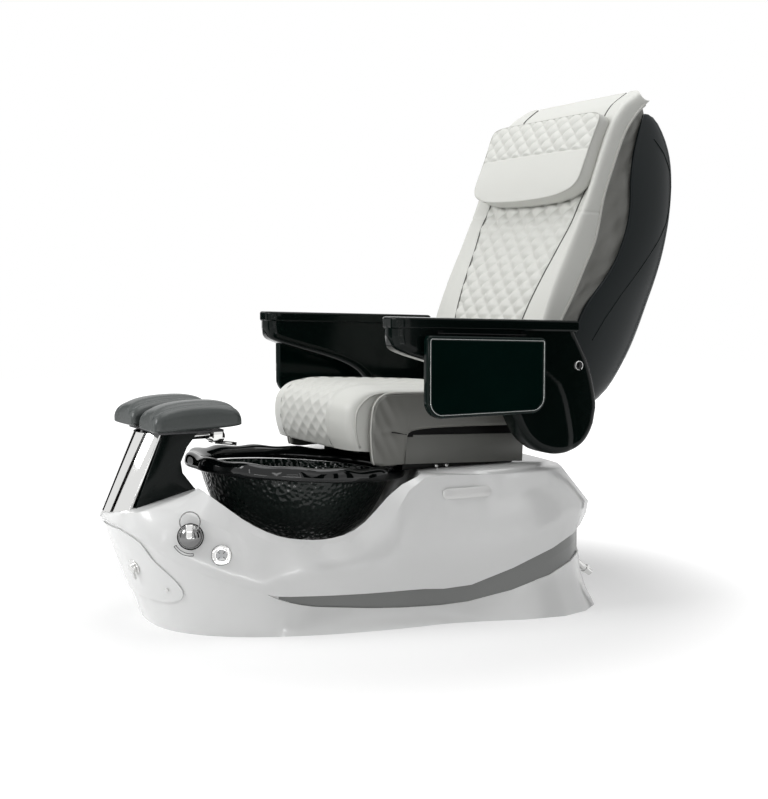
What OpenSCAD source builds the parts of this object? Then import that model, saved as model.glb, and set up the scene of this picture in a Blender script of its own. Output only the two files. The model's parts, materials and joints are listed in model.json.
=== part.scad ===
// Pedicure spa chair: foot bath hull, glass bowl, footrest and a sliding, reclining massage seat.
// Millimetres. Origin: centre of the hull's footprint on the floor.
// +X is the sitter's left, -Y is the front (foot bath), +Z is up.

/* [Hull] */
// Length of the hull from its middle to the nose, at the floor
nose_len = 650; // [610:5:690]
// Length of the hull from its middle to the stern, at the floor
stern_len = 560; // [530:5:590]
// Half width of the hull at the floor, at its middle
hull_half = 397; // [385:1:410]
// Extra half width where the stern flares out
stern_flare = 75; // [60:1:85]
// Forward lean of the nose, in mm of reach for each mm of height
nose_rake = 0.40; // [0.34:0.01:0.44]
// Height of the deck that carries the seat
deck_z = 386; // [384:1:388]
// Wall of the moulded hull shells
hull_wall = 4; // [3:0.5:5]
// Depth of the grey trim band's recess
band_recess = 5; // [3:0.5:7]

/* [Bowl] */
// Distance of the bowl's foot ahead of the origin
bowl_ahead = 240; // [236:1:244]
// Height of the bowl's foot
bowl_foot_z = 167; // [163:1:170]
// Backward tilt of the bowl
bowl_tilt = 4; // [3:0.5:5]
// Height of the glass bowl up to its lip
bowl_h = 208; // [200:1:212]
// Radius of the glass bowl at its lip
bowl_r = 262; // [256:1:266]
// Glass thickness of the bowl
bowl_wall = 8; // [6:0.5:10]
// Greatest radius of the rolled rim
rim_r = 303; // [296:1:306]
// Height of the rolled rim
rim_h = 38; // [34:1:42]
// Scallops round the rim
rim_waves = 14; // [10:1:18]
// Depth of one scallop
rim_wave = 4; // [2:0.5:5]
// Radius of the drain hole
drain_r = 22; // [18:1:26]

/* [Footrest] */
// Backward lean of the footrest column
column_lean = 23.7; // [22:0.1:25]
// Width of the black column housing
housing_w = 176; // [160:2:180]
// Depth of the black column housing at its top, along the chair
housing_d = 93; // [88:1:98]
// Wall of the column housing
housing_wall = 5; // [4:0.5:6]
// Side of the square tube that lifts the pads
post_w = 44; // [38:1:50]
// Length of one footrest pad
pad_len = 250; // [236:2:260]
// Width of one footrest pad
pad_w = 132; // [120:1:140]
// Thickness of one footrest pad
pad_t = 74; // [66:1:78]

/* [Seat] */
// Width of the seat over its side panels
seat_w = 532; // [520:2:540]
// Backward tilt of the seat
seat_tilt = 2.3; // [1.5:0.1:3]
// Thickness of the seat cushion at its middle
seat_t = 122; // [118:1:126]
// Thickness of one grey side panel
side_t = 22; // [18:1:26]
// Rails between the deck and the seat: height of one rail
rail_h = 16; // [14:1:18]

/* [Back] */
// Width of the back cushion
back_w = 590; // [580:2:600]
// Half width of the black back shell
shell_half = 300; // [296:1:304]
// Wall of the back shell
shell_wall = 5; // [4:0.5:6]
// Thickness of the back cushion
back_t = 58; // [52:1:60]
// Width of the head pillow
pillow_w = 466; // [450:2:470]
// Height of the head pillow
pillow_h = 244; // [236:2:250]
// Thickness of the head pillow
pillow_t = 66; // [58:1:72]
// Radius of one massage roller
roller_r = 24; // [20:1:26]

/* [Arms] */
// Distance of an arm's middle from the centre line
arm_x = 385; // [380:1:390]
// Width of an arm
arm_w = 96; // [88:1:100]
// Thickness of the arm's top plate
arm_t = 30; // [26:1:34]
// Radius of the arm's pivot pin
pivot_r = 9; // [7:0.5:11]
// Length of a flip tray
tray_len = 350; // [330:2:360]
// Drop of a flip tray when it hangs
tray_drop = 214; // [200:2:220]
// Thickness of a flip tray's frame
tray_t = 24; // [20:1:26]

/* [Hidden] */
$fn = 48;

// ---- Small helpers -----------------------------------------------------------------------------
fit_gap = 0.3;
function mix(a, b, k) = a + (b - a) * k;
function clamp(v, lo, hi) = max(lo, min(hi, v));
function ease(k) = let (c = clamp(k, 0, 1)) c * c * (3 - 2 * c);
function signed_pow(v, p) = sign(v) * pow(abs(v), p);

// A smooth curve through rows of [key, value, ...]: the value in column c at key v.
function row_at(rows, v, i = 0) =
    i >= len(rows) - 2 || v < rows[i + 1][0] ? i : row_at(rows, v, i + 1);
function slope_at(rows, i, c) =
    let (a = max(i - 1, 0), b = min(i + 1, len(rows) - 1))
    (rows[b][c] - rows[a][c]) / (rows[b][0] - rows[a][0]);
function curve(rows, v, c = 1) =
    let (i = row_at(rows, v), h = rows[i + 1][0] - rows[i][0],
         k = clamp((v - rows[i][0]) / h, 0, 1))
    (2 * k ^ 3 - 3 * k ^ 2 + 1) * rows[i][c] + (k ^ 3 - 2 * k ^ 2 + k) * h * slope_at(rows, i, c)
    + (3 * k ^ 2 - 2 * k ^ 3) * rows[i + 1][c] + (k ^ 3 - k ^ 2) * h * slope_at(rows, i + 1, c);

// Faces that join grid rows of n points each; closed joins the last point of a row to its first.
function strip_faces(rows, n, closed, flip = false, start = 0) =
    [for (i = [0 : rows - 2], j = [0 : closed ? n - 1 : n - 2])
        let (a = start + i * n + j, b = start + i * n + (j + 1) % n, c = b + n, d = a + n,
             quads = (i + j) % 2 == 0 ? [[a, b, c], [a, c, d]] : [[a, b, d], [b, c, d]])
        for (q = quads) flip ? [q[2], q[1], q[0]] : q];

// A closed shell whose section runs round through all the rings and back to the first.
module ring_solid(rings) {
    n = len(rings[0]);
    points = [for (ring = rings) for (p = ring) p];
    last = (len(rings) - 1) * n;
    join = [for (j = [0 : n - 1]) let (k = (j + 1) % n)
        for (q = [[k, last + k, last + j], [j, k, last + j]]) q];
    polyhedron(points, concat(strip_faces(len(rings), n, true, true), join), convexity = 8);
}

// A closed slab between two grids of the same size: outer is seen, inner is its back.
module grid_solid(outer, inner, flip = false) {
    rows = len(outer);
    n = len(outer[0]);
    size = rows * n;
    points = concat([for (r = outer) for (p = r) p], [for (r = inner) for (p = r) p]);
    rim = concat([for (j = [0 : n - 1]) j],
                 [for (i = [1 : rows - 1]) i * n + n - 1],
                 [for (j = [n - 2 : -1 : 0]) (rows - 1) * n + j],
                 [for (i = [rows - 2 : -1 : 1]) i * n]);
    sides = [for (k = [0 : len(rim) - 1]) let (a = rim[k], b = rim[(k + 1) % len(rim)])
        for (q = [[b, a, a + size], [b, a + size, b + size]]) q];
    faces = concat(strip_faces(rows, n, false), strip_faces(rows, n, false, true, size), sides);
    polyhedron(points, flip ? [for (f = faces) [f[2], f[1], f[0]]] : faces, convexity = 8);
}

module both_sides() {
    children();
    mirror([1, 0, 0]) children();
}

// ---- Hull: lines round the bath, as [angle about the bowl, radius, height] ---------------------
hull_cols = 72;
well_y = -bowl_ahead;
nose_power = 2.5;
stern_power = 4;
overhang = 0.4;
band_tip = -34;
shoulder_line = [[-90, 282], [-77, 262], [-61, 190], [-42, 130], [-30, 104], [-10, 94], [28, 92],
                 [40, 95], [48, 166], [53, 203], [65, 232], [90, 242]];
band_height = [[-34, 2], [-19, 25], [0, 34], [28, 47], [40, 45], [48, 70], [60, 75], [90, 76]];
side_inset = [[-90, 5], [-34, 5], [-19, 28], [28, 36], [48, 38], [60, 46], [90, 52]];
crease_line = [[-90, 530, 296], [-75, 508, 275], [-60, 450, 222], [-45, 392, 178], [-30, 352, 160],
               [-10, 346, 172], [5, 354, 182], [18, 393, 189], [32, 461, 197], [41, 566, 221],
               [47, 686, 264], [52, 768, 296], [60, 820, 290], [75, 800, 285], [90, 778, 285]];
crest_line = [[-90, 522, 303], [-75, 497, 306], [-62, 440, 318], [-52, 398, 285], [-42, 366, 240],
              [-30, 345, 208], [-15, 336, 190], [0, 340, 197], [10, 352, 222], [19, 376, 279],
              [25, 400, 352], [31, 431, 386], [41, 535, 386], [47, 650, 386], [52, 715, 386],
              [60, 745, 386], [75, 722, 386], [90, 700, 386]];
edge_line = [[-90, 312, 357], [-75, 320, 360], [-62, 372, 368], [-52, 368, 332], [-42, 350, 287],
             [-30, 330, 252], [-15, 316, 238], [-5, 314, 239], [5, 322, 254], [12, 335, 284],
             [19, 352, 330], [25, 376, 366], [31, 402, 386], [45, 362, 386], [60, 346, 386],
             [90, 332, 386]];
shelf_edge = -67;
shelf_slope = 0.25;
shelf_back_z = 357;
well_r = 262;
well_z = 190;
well_hole_r = 130;
well_hole_z = 150;
deck_drop = deck_z - 386;

function half_at(y) = hull_half + 0.1 * y + stern_flare * ease(y / 380);
function beyond(x, y) =
    let (n = y < 0 ? nose_power : stern_power, len_y = y < 0 ? nose_len : stern_len)
    pow(abs(x) / half_at(y), n) + pow(abs(y) / len_y, n) > 1;
function reach(a, lo = 0, hi = 1200, step = 0) =
    let (mid = (lo + hi) / 2) step > 20 ? mid
    : beyond(mid * cos(a), well_y + mid * sin(a)) ? reach(a, lo, mid, step + 1)
    : reach(a, mid, hi, step + 1);
function fold(a) = a > 90 ? 180 - a : a < -90 ? -180 - a : a;
function nose_share(a) = pow(max(0, -sin(a)), 2);
function polar(a, r, z) = [r * cos(a), well_y + r * sin(a), z];
function hull_angle(j) = -90 + j * 360 / hull_cols;
function shelf_z(y) = shelf_back_z + deck_drop + (y - well_y + edge_line[0][1]) * shelf_slope;

floor_reach = [for (j = [0 : hull_cols - 1]) reach(fold(hull_angle(j)))];
// Change of the floor outline from its first design, which the lines above follow.
design_reach = [[-90, 410], [-77, 409], [-61, 392], [-42, 361], [-30, 350], [-15, 346], [0, 358],
                [12, 385], [25, 432], [32, 468], [38, 527], [42, 592], [46, 678], [50, 757],
                [55, 817], [60, 841], [70, 838], [80, 812], [90, 800]];
function reach_at(j) = let (i = floor(j), a = (i + hull_cols) % hull_cols)
    mix(floor_reach[a], floor_reach[(a + 1) % hull_cols], j - i);
function growth(j) = reach_at(j) - curve(design_reach, fold(hull_angle(j)));

function side_r(j, z, inset) =
    let (a = fold(hull_angle(j))) reach_at(j) + nose_rake * z * nose_share(a) - inset;
function hull_ring(levels) =
    [for (j = [0 : hull_cols - 1]) let (lv = levels(j)) polar(hull_angle(j), lv[0], lv[1])];
function shoulder(j) = curve(shoulder_line, fold(hull_angle(j)));
function band_h(j) = fold(hull_angle(j)) < band_tip ? 0 : curve(band_height, fold(hull_angle(j)));
function inset_at(j) = curve(side_inset, fold(hull_angle(j)));

// A ring of the lower hull at share k of its height, moved in by deep.
function skirt_level(j, k, deep) =
    let (z = k * (shoulder(j) - band_h(j)), inset = inset_at(j) * (1 - (1 - k) ^ 2))
    [side_r(j, z, inset + deep), z];
skirt_levels = [0, 0.06, 0.3, 0.65, 1];

module base_skirt() {
    rings = [for (k = skirt_levels) hull_ring(function (j) skirt_level(j, k, 0))];
    backs = [for (i = [len(skirt_levels) - 1 : -1 : 0])
        hull_ring(function (j) skirt_level(j, skirt_levels[i], hull_wall))];
    color("white") difference() {
        ring_solid(concat(rings, backs));
        lever_hole();
        supply_place() cylinder(r = 14.5, h = 60, center = true);
    }
}

// Grey band in the recess between the skirt and the upper shell, from one tip round the stern.
band_cols = [for (j = [0 : hull_cols - 1]) if (fold(hull_angle(j)) > band_tip) j];
band_lap = 5;
band_wall = 3;
function band_point(j, deep, k) =
    let (low = shoulder(j) - band_h(j), z = mix(low, shoulder(j) + band_lap, k))
    polar(hull_angle(j), side_r(j, low, inset_at(j) + deep), z);
module trim_band() {
    outer = [for (k = [0, 0.5, 1]) [for (j = band_cols) band_point(j, band_recess, k)]];
    inner = [for (k = [0, 0.5, 1]) [for (j = band_cols) band_point(j, band_recess + band_wall, k)]];
    color("dimgray") grid_solid(outer, inner, true);
}

// One point of the upper shell's face: row 0 is its lower edge, then belly, crease, crest, deck
// edge, well wall, well foot and the well's hole.
function flat_z(a, r, z) = a < shelf_edge ? shelf_z(well_y - r * abs(sin(a))) : z + deck_drop;
function shell_level(j, row) =
    let (a = fold(hull_angle(j)), low = [side_r(j, shoulder(j), inset_at(j) - overhang
             - hull_wall), shoulder(j)],
         crease = [curve(crease_line, a) + growth(j), curve(crease_line, a, 2)],
         crest_r = curve(crest_line, a) + growth(j) * 0.9,
         crest = [crest_r, flat_z(a, crest_r, curve(crest_line, a, 2))],
         edge_r = curve(edge_line, a), edge = [edge_r, flat_z(a, edge_r, curve(edge_line, a, 2))])
    row == 0 ? low
    : row == 1 ? [mix(low[0], crease[0], 0.55) + 4, mix(low[1], crease[1], 0.5)]
    : row == 2 ? crease
    : row == 3 ? crest
    : row == 4 ? edge
    : row == 5 ? [mix(edge[0], well_r, 0.45), mix(edge[1], well_z, 0.45)]
    : row == 6 ? [well_r, well_z]
    : [well_hole_r, well_hole_z];
shell_back = [[-1, 0], [-1, 0], [-1, -0.3], [-0.5, -1], [0.8, -1], [1, -0.5], [0.8, -1], [0, -1]];
function shell_back_level(j, row) =
    shell_level(j, row) + hull_wall * shell_back[row];

// Frame on the shell's sloped face at an angle round the bowl and a share of the face's height.
function face_point(a, k) =
    let (j = (a + 90) * hull_cols / 360, lv = mix(shell_level(j, 2), shell_level(j, 3), k))
    polar(a, lv[0], lv[1]);
module face_place(a, k) {
    at = face_point(a, k);
    along = face_point(a + 2, k) - face_point(a - 2, k);
    up = face_point(a, k + 0.1) - face_point(a, k - 0.1);
    out = cross(along, up) / norm(cross(along, up));
    x = along / norm(along);
    y = cross(out, x);
    multmatrix([[x[0], y[0], out[0], at[0]], [x[1], y[1], out[1], at[1]],
                [x[2], y[2], out[2], at[2]]]) children();
}
knob_angle = -59;
knob_share = 0.45;
knob_bore_r = 15;
button_angle = -49.8;
button_share = 0.28;
button_bore_r = 20;
guide_w = 52;
module upper_shell() {
    last = len(shell_back) - 1;
    faces = [for (row = [0 : last]) hull_ring(function (j) shell_level(j, row))];
    backs = [for (row = [last : -1 : 0]) hull_ring(function (j) shell_back_level(j, row))];
    color("white") difference() {
        ring_solid(concat(faces, backs));
        face_place(knob_angle, knob_share) translate([0, 0, -30]) cylinder(r = knob_bore_r, h = 60);
        face_place(button_angle, button_share) translate([0, 0, -30])
            cylinder(r = button_bore_r, h = 60);
        column_place() translate([-guide_w / 2 - 1, -guide_w / 2 - 1, -60])
            cube([guide_w + 2, guide_w + 2, 120]);
        jet_hole();
    }
}

// Oval front door in the nose of the skirt, for the pump and valves.
panel_t = 3;
panel_gap = 1.6;
panel_cells = 14;
panel_line = [[82, 20], [98, 26], [134, 26], [196, 19], [246, 15], [266, 8]];
function panel_point(u, v, deep) =
    let (z = mix(82, 266, v), a = -90 + curve(panel_line, z) * (2 * u - 1),
         j = (a + 90) * hull_cols / 360, k = z / shoulder(j))
    polar(a, side_r(j, z, inset_at(j) * (1 - (1 - k) ^ 2)) + deep, z);
module access_panel() {
    color("white") difference() {
        grid_solid(
            [for (i = [0 : panel_cells]) [for (j = [0 : panel_cells])
                panel_point(j / panel_cells, i / panel_cells, panel_t + panel_gap)]],
            [for (i = [0 : panel_cells]) [for (j = [0 : panel_cells])
                panel_point(j / panel_cells, i / panel_cells, panel_gap)]], true);
        lever_hole();
    }
}

// ---- Steel frame on the floor ------------------------------------------------------------------
foot_h = 14;
foot_r = 18;
frame_x = 205;
frame_front = -470;
frame_back = 430;
tube_w = 30;
tube_h = 40;
mid_beam_y = [-400, -100, 0, 400];
deck_rail_front = 95;
post_ys = [120, 380];
foot_ys = [frame_front + 40, 0, frame_back - 40];
module base_frame() {
    color("dimgray") {
        both_sides() translate([frame_x - tube_w / 2, frame_front, foot_h])
            cube([tube_w, frame_back - frame_front, tube_h]);
        for (y = mid_beam_y) translate([-frame_x, y - tube_w / 2, foot_h])
            cube([2 * frame_x, tube_w, tube_h]);
        both_sides() for (y = post_ys) translate([frame_x - tube_w / 2, y - tube_w / 2, foot_h])
            cube([tube_w, tube_w, deck_z - hull_wall - foot_h]);
        both_sides() translate([frame_x - tube_w / 2, deck_rail_front, deck_z - hull_wall - tube_w])
            cube([tube_w, frame_back - deck_rail_front, tube_w]);
        for (y = post_ys) translate([-frame_x, y - tube_w / 2, deck_z - hull_wall - tube_w])
            cube([2 * frame_x, tube_w, tube_w]);
    }
}
module levelling_feet() {
    color("black") for (at = [[0, 0], for (x = [-1, 1], y = foot_ys) [x * frame_x, y]])
        translate([at[0], at[1], 0]) {
            cylinder(r = foot_r, h = foot_h - 4);
            cylinder(r = foot_r / 2, h = foot_h);
        }
}

// ---- Bowl ---------------------------------------------------------------------------------------
bowl_line = [[0, 72], [18, 116], [45, 160], [80, 199], [120, 226], [165, 247], [208, 262]];
bowl_base_t = 12;
function bowl_at(z) = curve(bowl_line, z * 208 / bowl_h) * bowl_r / 262;
bowl_steps = 12;
module bowl_place() {
    translate([0, -bowl_ahead, bowl_foot_z]) rotate([-bowl_tilt, 0, 0]) children();
}
jet_z = 92;
jet_lean = 33;
jet_r = 34;
module jet_place() {
    translate([0, -bowl_at(jet_z), jet_z]) rotate([jet_lean - 90, 0, 0]) children();
}
module bowl() {
    out = [for (i = [0 : bowl_steps]) let (z = bowl_h * i / bowl_steps) [bowl_at(z), z]];
    inn = [for (i = [bowl_steps : -1 : 1]) let (z = bowl_h * i / bowl_steps)
        [bowl_at(z) - bowl_wall, max(z, bowl_base_t)]];
    color("darkslategray") bowl_place() difference() {
        rotate_extrude($fn = 96) polygon(concat([[0, 0]], out, inn,
                                                 [[70, bowl_base_t], [0, bowl_base_t]]));
        translate([0, 0, -1]) cylinder(r = drain_r, h = bowl_base_t + 2);
        jet_place() translate([0, 0, -30]) cylinder(r = jet_r, h = 60);
    }
}
// Rolled rim: [outward, up] from the bowl's lip, the wave swells its outer side.
rim_cols = 84;
rim_section = [[-10, 0, 0], [18, 0, 0.2], [34, -2, 1], [41, 6, 1], [40, 26, 1], [34, 39, 1],
               [22, 44, 0.7], [6, 38, 0.4], [-6, 24, 0.2]];
module bowl_rim() {
    reach_out = (rim_r - 262) / 41;
    color("black") bowl_place() ring_solid([for (s = rim_section)
        [for (j = [0 : rim_cols - 1])
            let (a = 360 * j / rim_cols, wave = rim_wave * cos(a * rim_waves) * s[2],
                 r = bowl_r + (s[0] < 0 ? s[0] : s[0] * reach_out + wave))
            [r * cos(a), r * sin(a), bowl_h + max(s[1] * rim_h / 44, s[1] < 0 ? s[1] : 0)
                + (s[1] > 20 ? wave * 0.9 : 0)]]]);
}
stand_r = 66;
stand_t = 8;
leg_r = 9;
module bowl_stand() {
    color("dimgray") {
        bowl_place() translate([0, 0, -stand_t]) difference() {
            cylinder(r = stand_r, h = stand_t);
            translate([0, 0, -1]) cylinder(r = drain_r + 12, h = stand_t + 2);
        }
        for (x = [-1, 1], y = [-1, 1])
            translate([x * 38, -bowl_ahead - 10 + y * 28, foot_h + tube_h + 6])
                cylinder(r = leg_r, h = bowl_foot_z - foot_h - tube_h - 15);
        translate([-60, -bowl_ahead - 60, foot_h + tube_h]) cube([120, 100, 6]);
        both_sides() translate([40, -bowl_ahead - 24, foot_h + tube_h - 12])
            cube([frame_x - tube_w / 2 - 40, 30, 12]);
    }
}

// Drain: flanged body through the bowl's foot, a stopper lifted by a link from the front lever.
drain_flange = 6;
drain_len = 44;
stopper_stem_r = 4;
module drain_body() {
    color("silver") bowl_place() difference() {
        union() {
            translate([0, 0, bowl_base_t]) cylinder(r = drain_r + drain_flange, h = 3);
            translate([0, 0, bowl_base_t - drain_len]) cylinder(r = drain_r - 0.1, h = drain_len);
        }
        translate([0, 0, bowl_base_t - drain_len - 1]) cylinder(r = drain_r - 3, h = drain_len - 6);
        translate([0, 0, bowl_base_t - 8]) for (a = [30 : 60 : 330])
            rotate([0, 0, a]) translate([12, 0, 0]) cylinder(r = 4.2, h = 14);
        translate([0, 0, bowl_base_t - 9]) cylinder(r = stopper_stem_r + 0.05, h = 14);
    }
}
module drain_stopper() {
    color("silver") bowl_place() {
        translate([0, 0, bowl_base_t + 3.3]) {
            cylinder(r = drain_r + 2, h = 3);
            translate([0, 0, 3]) cylinder(r1 = drain_r + 2, r2 = 8, h = 4);
        }
        translate([0, 0, bowl_base_t - 24]) cylinder(r = stopper_stem_r, h = 30);
    }
}
pipe_r = 20;
module drain_pipe() {
    color("whitesmoke") {
        bowl_place() translate([0, 0, bowl_base_t - drain_len - 12]) difference() {
            cylinder(r = pipe_r, h = 28);
            translate([0, 0, 12]) cylinder(r = drain_r + fit_gap, h = 20);
            translate([0, 0, -1]) cylinder(r = pipe_r - 5, h = 30);
        }
    }
}

// ---- Footrest -----------------------------------------------------------------------------------
column_y = -650;
function column_z() = shelf_z(column_y);
module column_place() {
    translate([0, column_y, column_z()]) rotate([-column_lean, 0, 0]) children();
}
column_top_z = 503;
column_arc_r = 110;
column_half = 80;
column_face = 95;
column_plate = 4;
shelf_lean = atan(shelf_slope);
// Keeps what stands between the hull's shelf and the pads.
module column_trim() {
    intersection() {
        children();
        rotate([90, 0, 90]) linear_extrude(400, center = true) polygon([
            [-800, shelf_z(-800) + fit_gap], [-480, shelf_z(-480) + fit_gap],
            [-480, column_top_z], [-800, column_top_z]]);
    }
}
module footrest_column() {
    color("silver") column_trim() column_place() intersection() {
        translate([0, column_arc_r - column_face, -150]) difference() {
            cylinder(r = column_arc_r, h = 400);
            translate([0, 0, -1]) cylinder(r = column_arc_r - column_plate, h = 402);
        }
        translate([-column_half, -column_face - 5, -150]) cube([2 * column_half, 45, 400]);
    }
}
housing_side = [[-717, 300], [-634, column_top_z], [-634 + housing_d, column_top_z], [-571, 466], [-588, 428], [-584, 400],
                [-552, 358], [-540, 340]];
module footrest_housing() {
    color("black") column_trim() difference() {
        rotate([90, 0, 90]) linear_extrude(housing_w, center = true) polygon(housing_side);
        column_place() translate([-guide_w / 2 - fit_gap, -guide_w / 2 - fit_gap, -150])
            cube([guide_w + 2 * fit_gap, guide_w + 2 * fit_gap, 400]);
        translate([0, -600, 340]) rotate([0, 90, 0])
            cylinder(r = 12, h = housing_w - 2 * housing_wall, center = true);
    }
}
guide_wall = 3.5;
guide_low = -58;
guide_high = 112;
module footrest_guide() {
    color("gray") {
        column_place() translate([0, 0, guide_low]) difference() {
            translate([-guide_w / 2, -guide_w / 2, 0])
                cube([guide_w, guide_w, guide_high - guide_low]);
            translate([-guide_w / 2 + guide_wall, -guide_w / 2 + guide_wall, -1])
                cube([guide_w - 2 * guide_wall, guide_w - 2 * guide_wall, 400]);
        }
        difference() {
            translate([0, column_y, column_z() - hull_wall - fit_gap]) rotate([shelf_lean, 0, 0])
                translate([-62, -52, -4]) cube([124, 104, 4]);
            column_place() translate([-guide_w / 2 + 1, -guide_w / 2 + 1, -150])
                cube([guide_w - 2, guide_w - 2, 400]);
        }
    }
}
post_low = -40;
bracket_t = 6;
module footrest_post() {
    color("silver") intersection() {
        column_place() translate([-post_w / 2, -post_w / 2, post_low]) difference() {
            cube([post_w, post_w, 400]);
            translate([3, 3, -1]) cube([post_w - 6, post_w - 6, 402]);
        }
        translate([-100, -800, 200]) cube([200, 400, column_top_z + 1 - 200]);
    }
}
pad_y = -572;
pad_x = 86;
module footrest_bracket() {
    color("dimgray") translate([-118, pad_y - 85, column_top_z + 1]) difference() {
        cube([236, 175, bracket_t]);
        for (x = [30, 206], y = [25, 150]) translate([x, y, -1]) cylinder(r = 3.2, h = bracket_t + 2);
    }
}
// One vinyl pad: crowned, drawn in at its middle, with two long grooves.
pad_cells_x = 12;
pad_cells_y = 16;
function pad_edge(k, p) = (1 - abs(2 * k - 1) ^ p) ^ (1 / p);
function pad_point(u, v, up) =
    let (w = 2 * u - 1, l = 2 * v - 1, side = signed_pow(sin(90 * w), 0.9),
         waist = 1 - 0.05 * (1 - l * l), full = pad_edge(u, 3.2) * pad_edge(v, 3.6),
         groove = 5 * exp(-(abs(w) - 0.42) ^ 2 * 90) * (1 - l ^ 4),
         crown = 10 * (1 - l * l) + 9 * (1 - w * w))
    [side * pad_w / 2 * waist, pad_len / 2 * signed_pow(sin(90 * l), 0.92),
     up ? pad_t * 0.42 + (pad_t * 0.40 + crown) * full - groove
        : (pad_t * 0.42 - 3) * (1 - full)];
module footrest_pad(x) {
    color("darkslategray") translate([x, pad_y, column_top_z + 1 + bracket_t + 3.2])
        rotate([2, 0, x > 0 ? -2 : 2]) grid_solid(
            [for (i = [0 : pad_cells_x]) [for (j = [0 : pad_cells_y])
                pad_point(i / pad_cells_x, j / pad_cells_y, true)]],
            [for (i = [0 : pad_cells_x]) [for (j = [0 : pad_cells_y])
                pad_point(i / pad_cells_x, j / pad_cells_y, false)]]);
}
module footrest_pad_left() footrest_pad(pad_x);
module footrest_pad_right() footrest_pad(-pad_x);

faucet_z = 482;
faucet_y = -462;
module faucet() {
    color("silver") {
        difference() {
            union() {
                translate([0, -558, faucet_z + 4]) rotate([-90, 0, 0]) cylinder(r = 12, h = 90);
                translate([-32, faucet_y, faucet_z]) rotate([0, 90, 0]) cylinder(r = 18, h = 64);
                translate([-25, faucet_y - 8, faucet_z - 20]) rotate([-8, 0, 0])
                    cube([50, 62, 9]);
            }
            rotate([90, 0, 90]) linear_extrude(300, center = true) offset(delta = fit_gap)
                polygon(housing_side);
        }
    }
}

// ---- Controls on the hull -----------------------------------------------------------------------
escutcheon_r = 23;
escutcheon_lift = 2.2;
module mixer_escutcheon() {
    color("silver") face_place(knob_angle, knob_share) difference() {
        union() {
            translate([0, 0, escutcheon_lift]) cylinder(r = escutcheon_r, h = 3);
            translate([0, 0, -16]) cylinder(r = knob_bore_r - fit_gap, h = 18.5);
        }
        translate([0, 0, -20]) cylinder(r = 9.3, h = 40);
    }
}
valve_stem_r = 6;
module mixing_valve() {
    color("goldenrod") face_place(knob_angle, knob_share) {
        translate([0, 0, -46]) cylinder(r = 19, h = 30);
        translate([0, 0, -16]) cylinder(r = 9, h = 18);
        translate([0, 0, 2]) cylinder(r = valve_stem_r, h = 12);
        translate([-34, 0, -32]) rotate([0, 90, 0]) cylinder(r = 8, h = 68);
    }
}
knob_h = 20;
module mixer_knob() {
    color("silver") face_place(knob_angle, knob_share) translate([0, 0, 5.6]) difference() {
        union() {
            cylinder(r = 18, h = knob_h);
            translate([0, 0, knob_h]) cylinder(r1 = 18, r2 = 13, h = 5);
            translate([-4, 0, knob_h - 9]) cube([8, 28, 7]);
        }
        translate([0, 0, -1]) cylinder(r = valve_stem_r + 0.05, h = 10);
    }
}
button_r = 13.5;
button_travel = 3;
button_well = 14;
module button_bezel() {
    color("silver") face_place(button_angle, button_share) difference() {
        union() {
            translate([0, 0, escutcheon_lift]) cylinder(r = button_bore_r + 4, h = 2.5);
            translate([0, 0, -20]) cylinder(r = button_bore_r - fit_gap, h = 22.5);
        }
        translate([0, 0, -button_well]) cylinder(r = button_r + fit_gap, h = 40);
        translate([0, 0, -21]) cylinder(r = 5 + fit_gap, h = 40);
    }
}
module air_button() {
    color("whitesmoke") face_place(button_angle, button_share) {
        translate([0, 0, button_travel + 0.8 - button_well]) cylinder(r = button_r, h = 16);
        translate([0, 0, -26]) cylinder(r = 5, h = 16);
    }
}

// Frame on the skirt's nose for the drain lever.
lever_angle = -81;
lever_share = 0.62;
lever_bore_r = 9;
function nose_point(a, k) =
    let (j = (a + 90) * hull_cols / 360, lv = skirt_level(j, k, 0)) polar(a, lv[0], lv[1]);
nose_at = nose_point(lever_angle, lever_share);
nose_along = nose_point(lever_angle + 2, lever_share) - nose_point(lever_angle - 2, lever_share);
nose_up = nose_point(lever_angle, lever_share + 0.05) - nose_point(lever_angle, lever_share - 0.05);
nose_out = cross(nose_along, nose_up) / norm(cross(nose_along, nose_up));
nose_x = nose_along / norm(nose_along);
nose_y = cross(nose_out, nose_x);
module nose_place() {
    multmatrix([[nose_x[0], nose_y[0], nose_out[0], nose_at[0]],
                [nose_x[1], nose_y[1], nose_out[1], nose_at[1]],
                [nose_x[2], nose_y[2], nose_out[2], nose_at[2]]]) children();
}
lever_stem_r = 5;
module lever_hole() { nose_place() translate([0, 0, -20]) cylinder(r = lever_bore_r, h = 40); }
module lever_escutcheon() {
    color("silver") nose_place() difference() {
        union() {
            translate([0, 0, 4.3]) cylinder(r = 21, h = 3);
            translate([0, 0, -14]) cylinder(r = lever_bore_r - fit_gap, h = 20);
        }
        translate([0, 0, -20]) cylinder(r = lever_stem_r + 0.05, h = 40);
    }
}
module drain_lever() {
    color("silver") nose_place() {
        translate([0, 0, -18]) cylinder(r = lever_stem_r, h = 30);
        translate([0, 0, 7.7]) cylinder(r = 12, h = 9.6);
        translate([-3.5, -32, 10]) cube([7, 30, 6]);
    }
}

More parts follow.
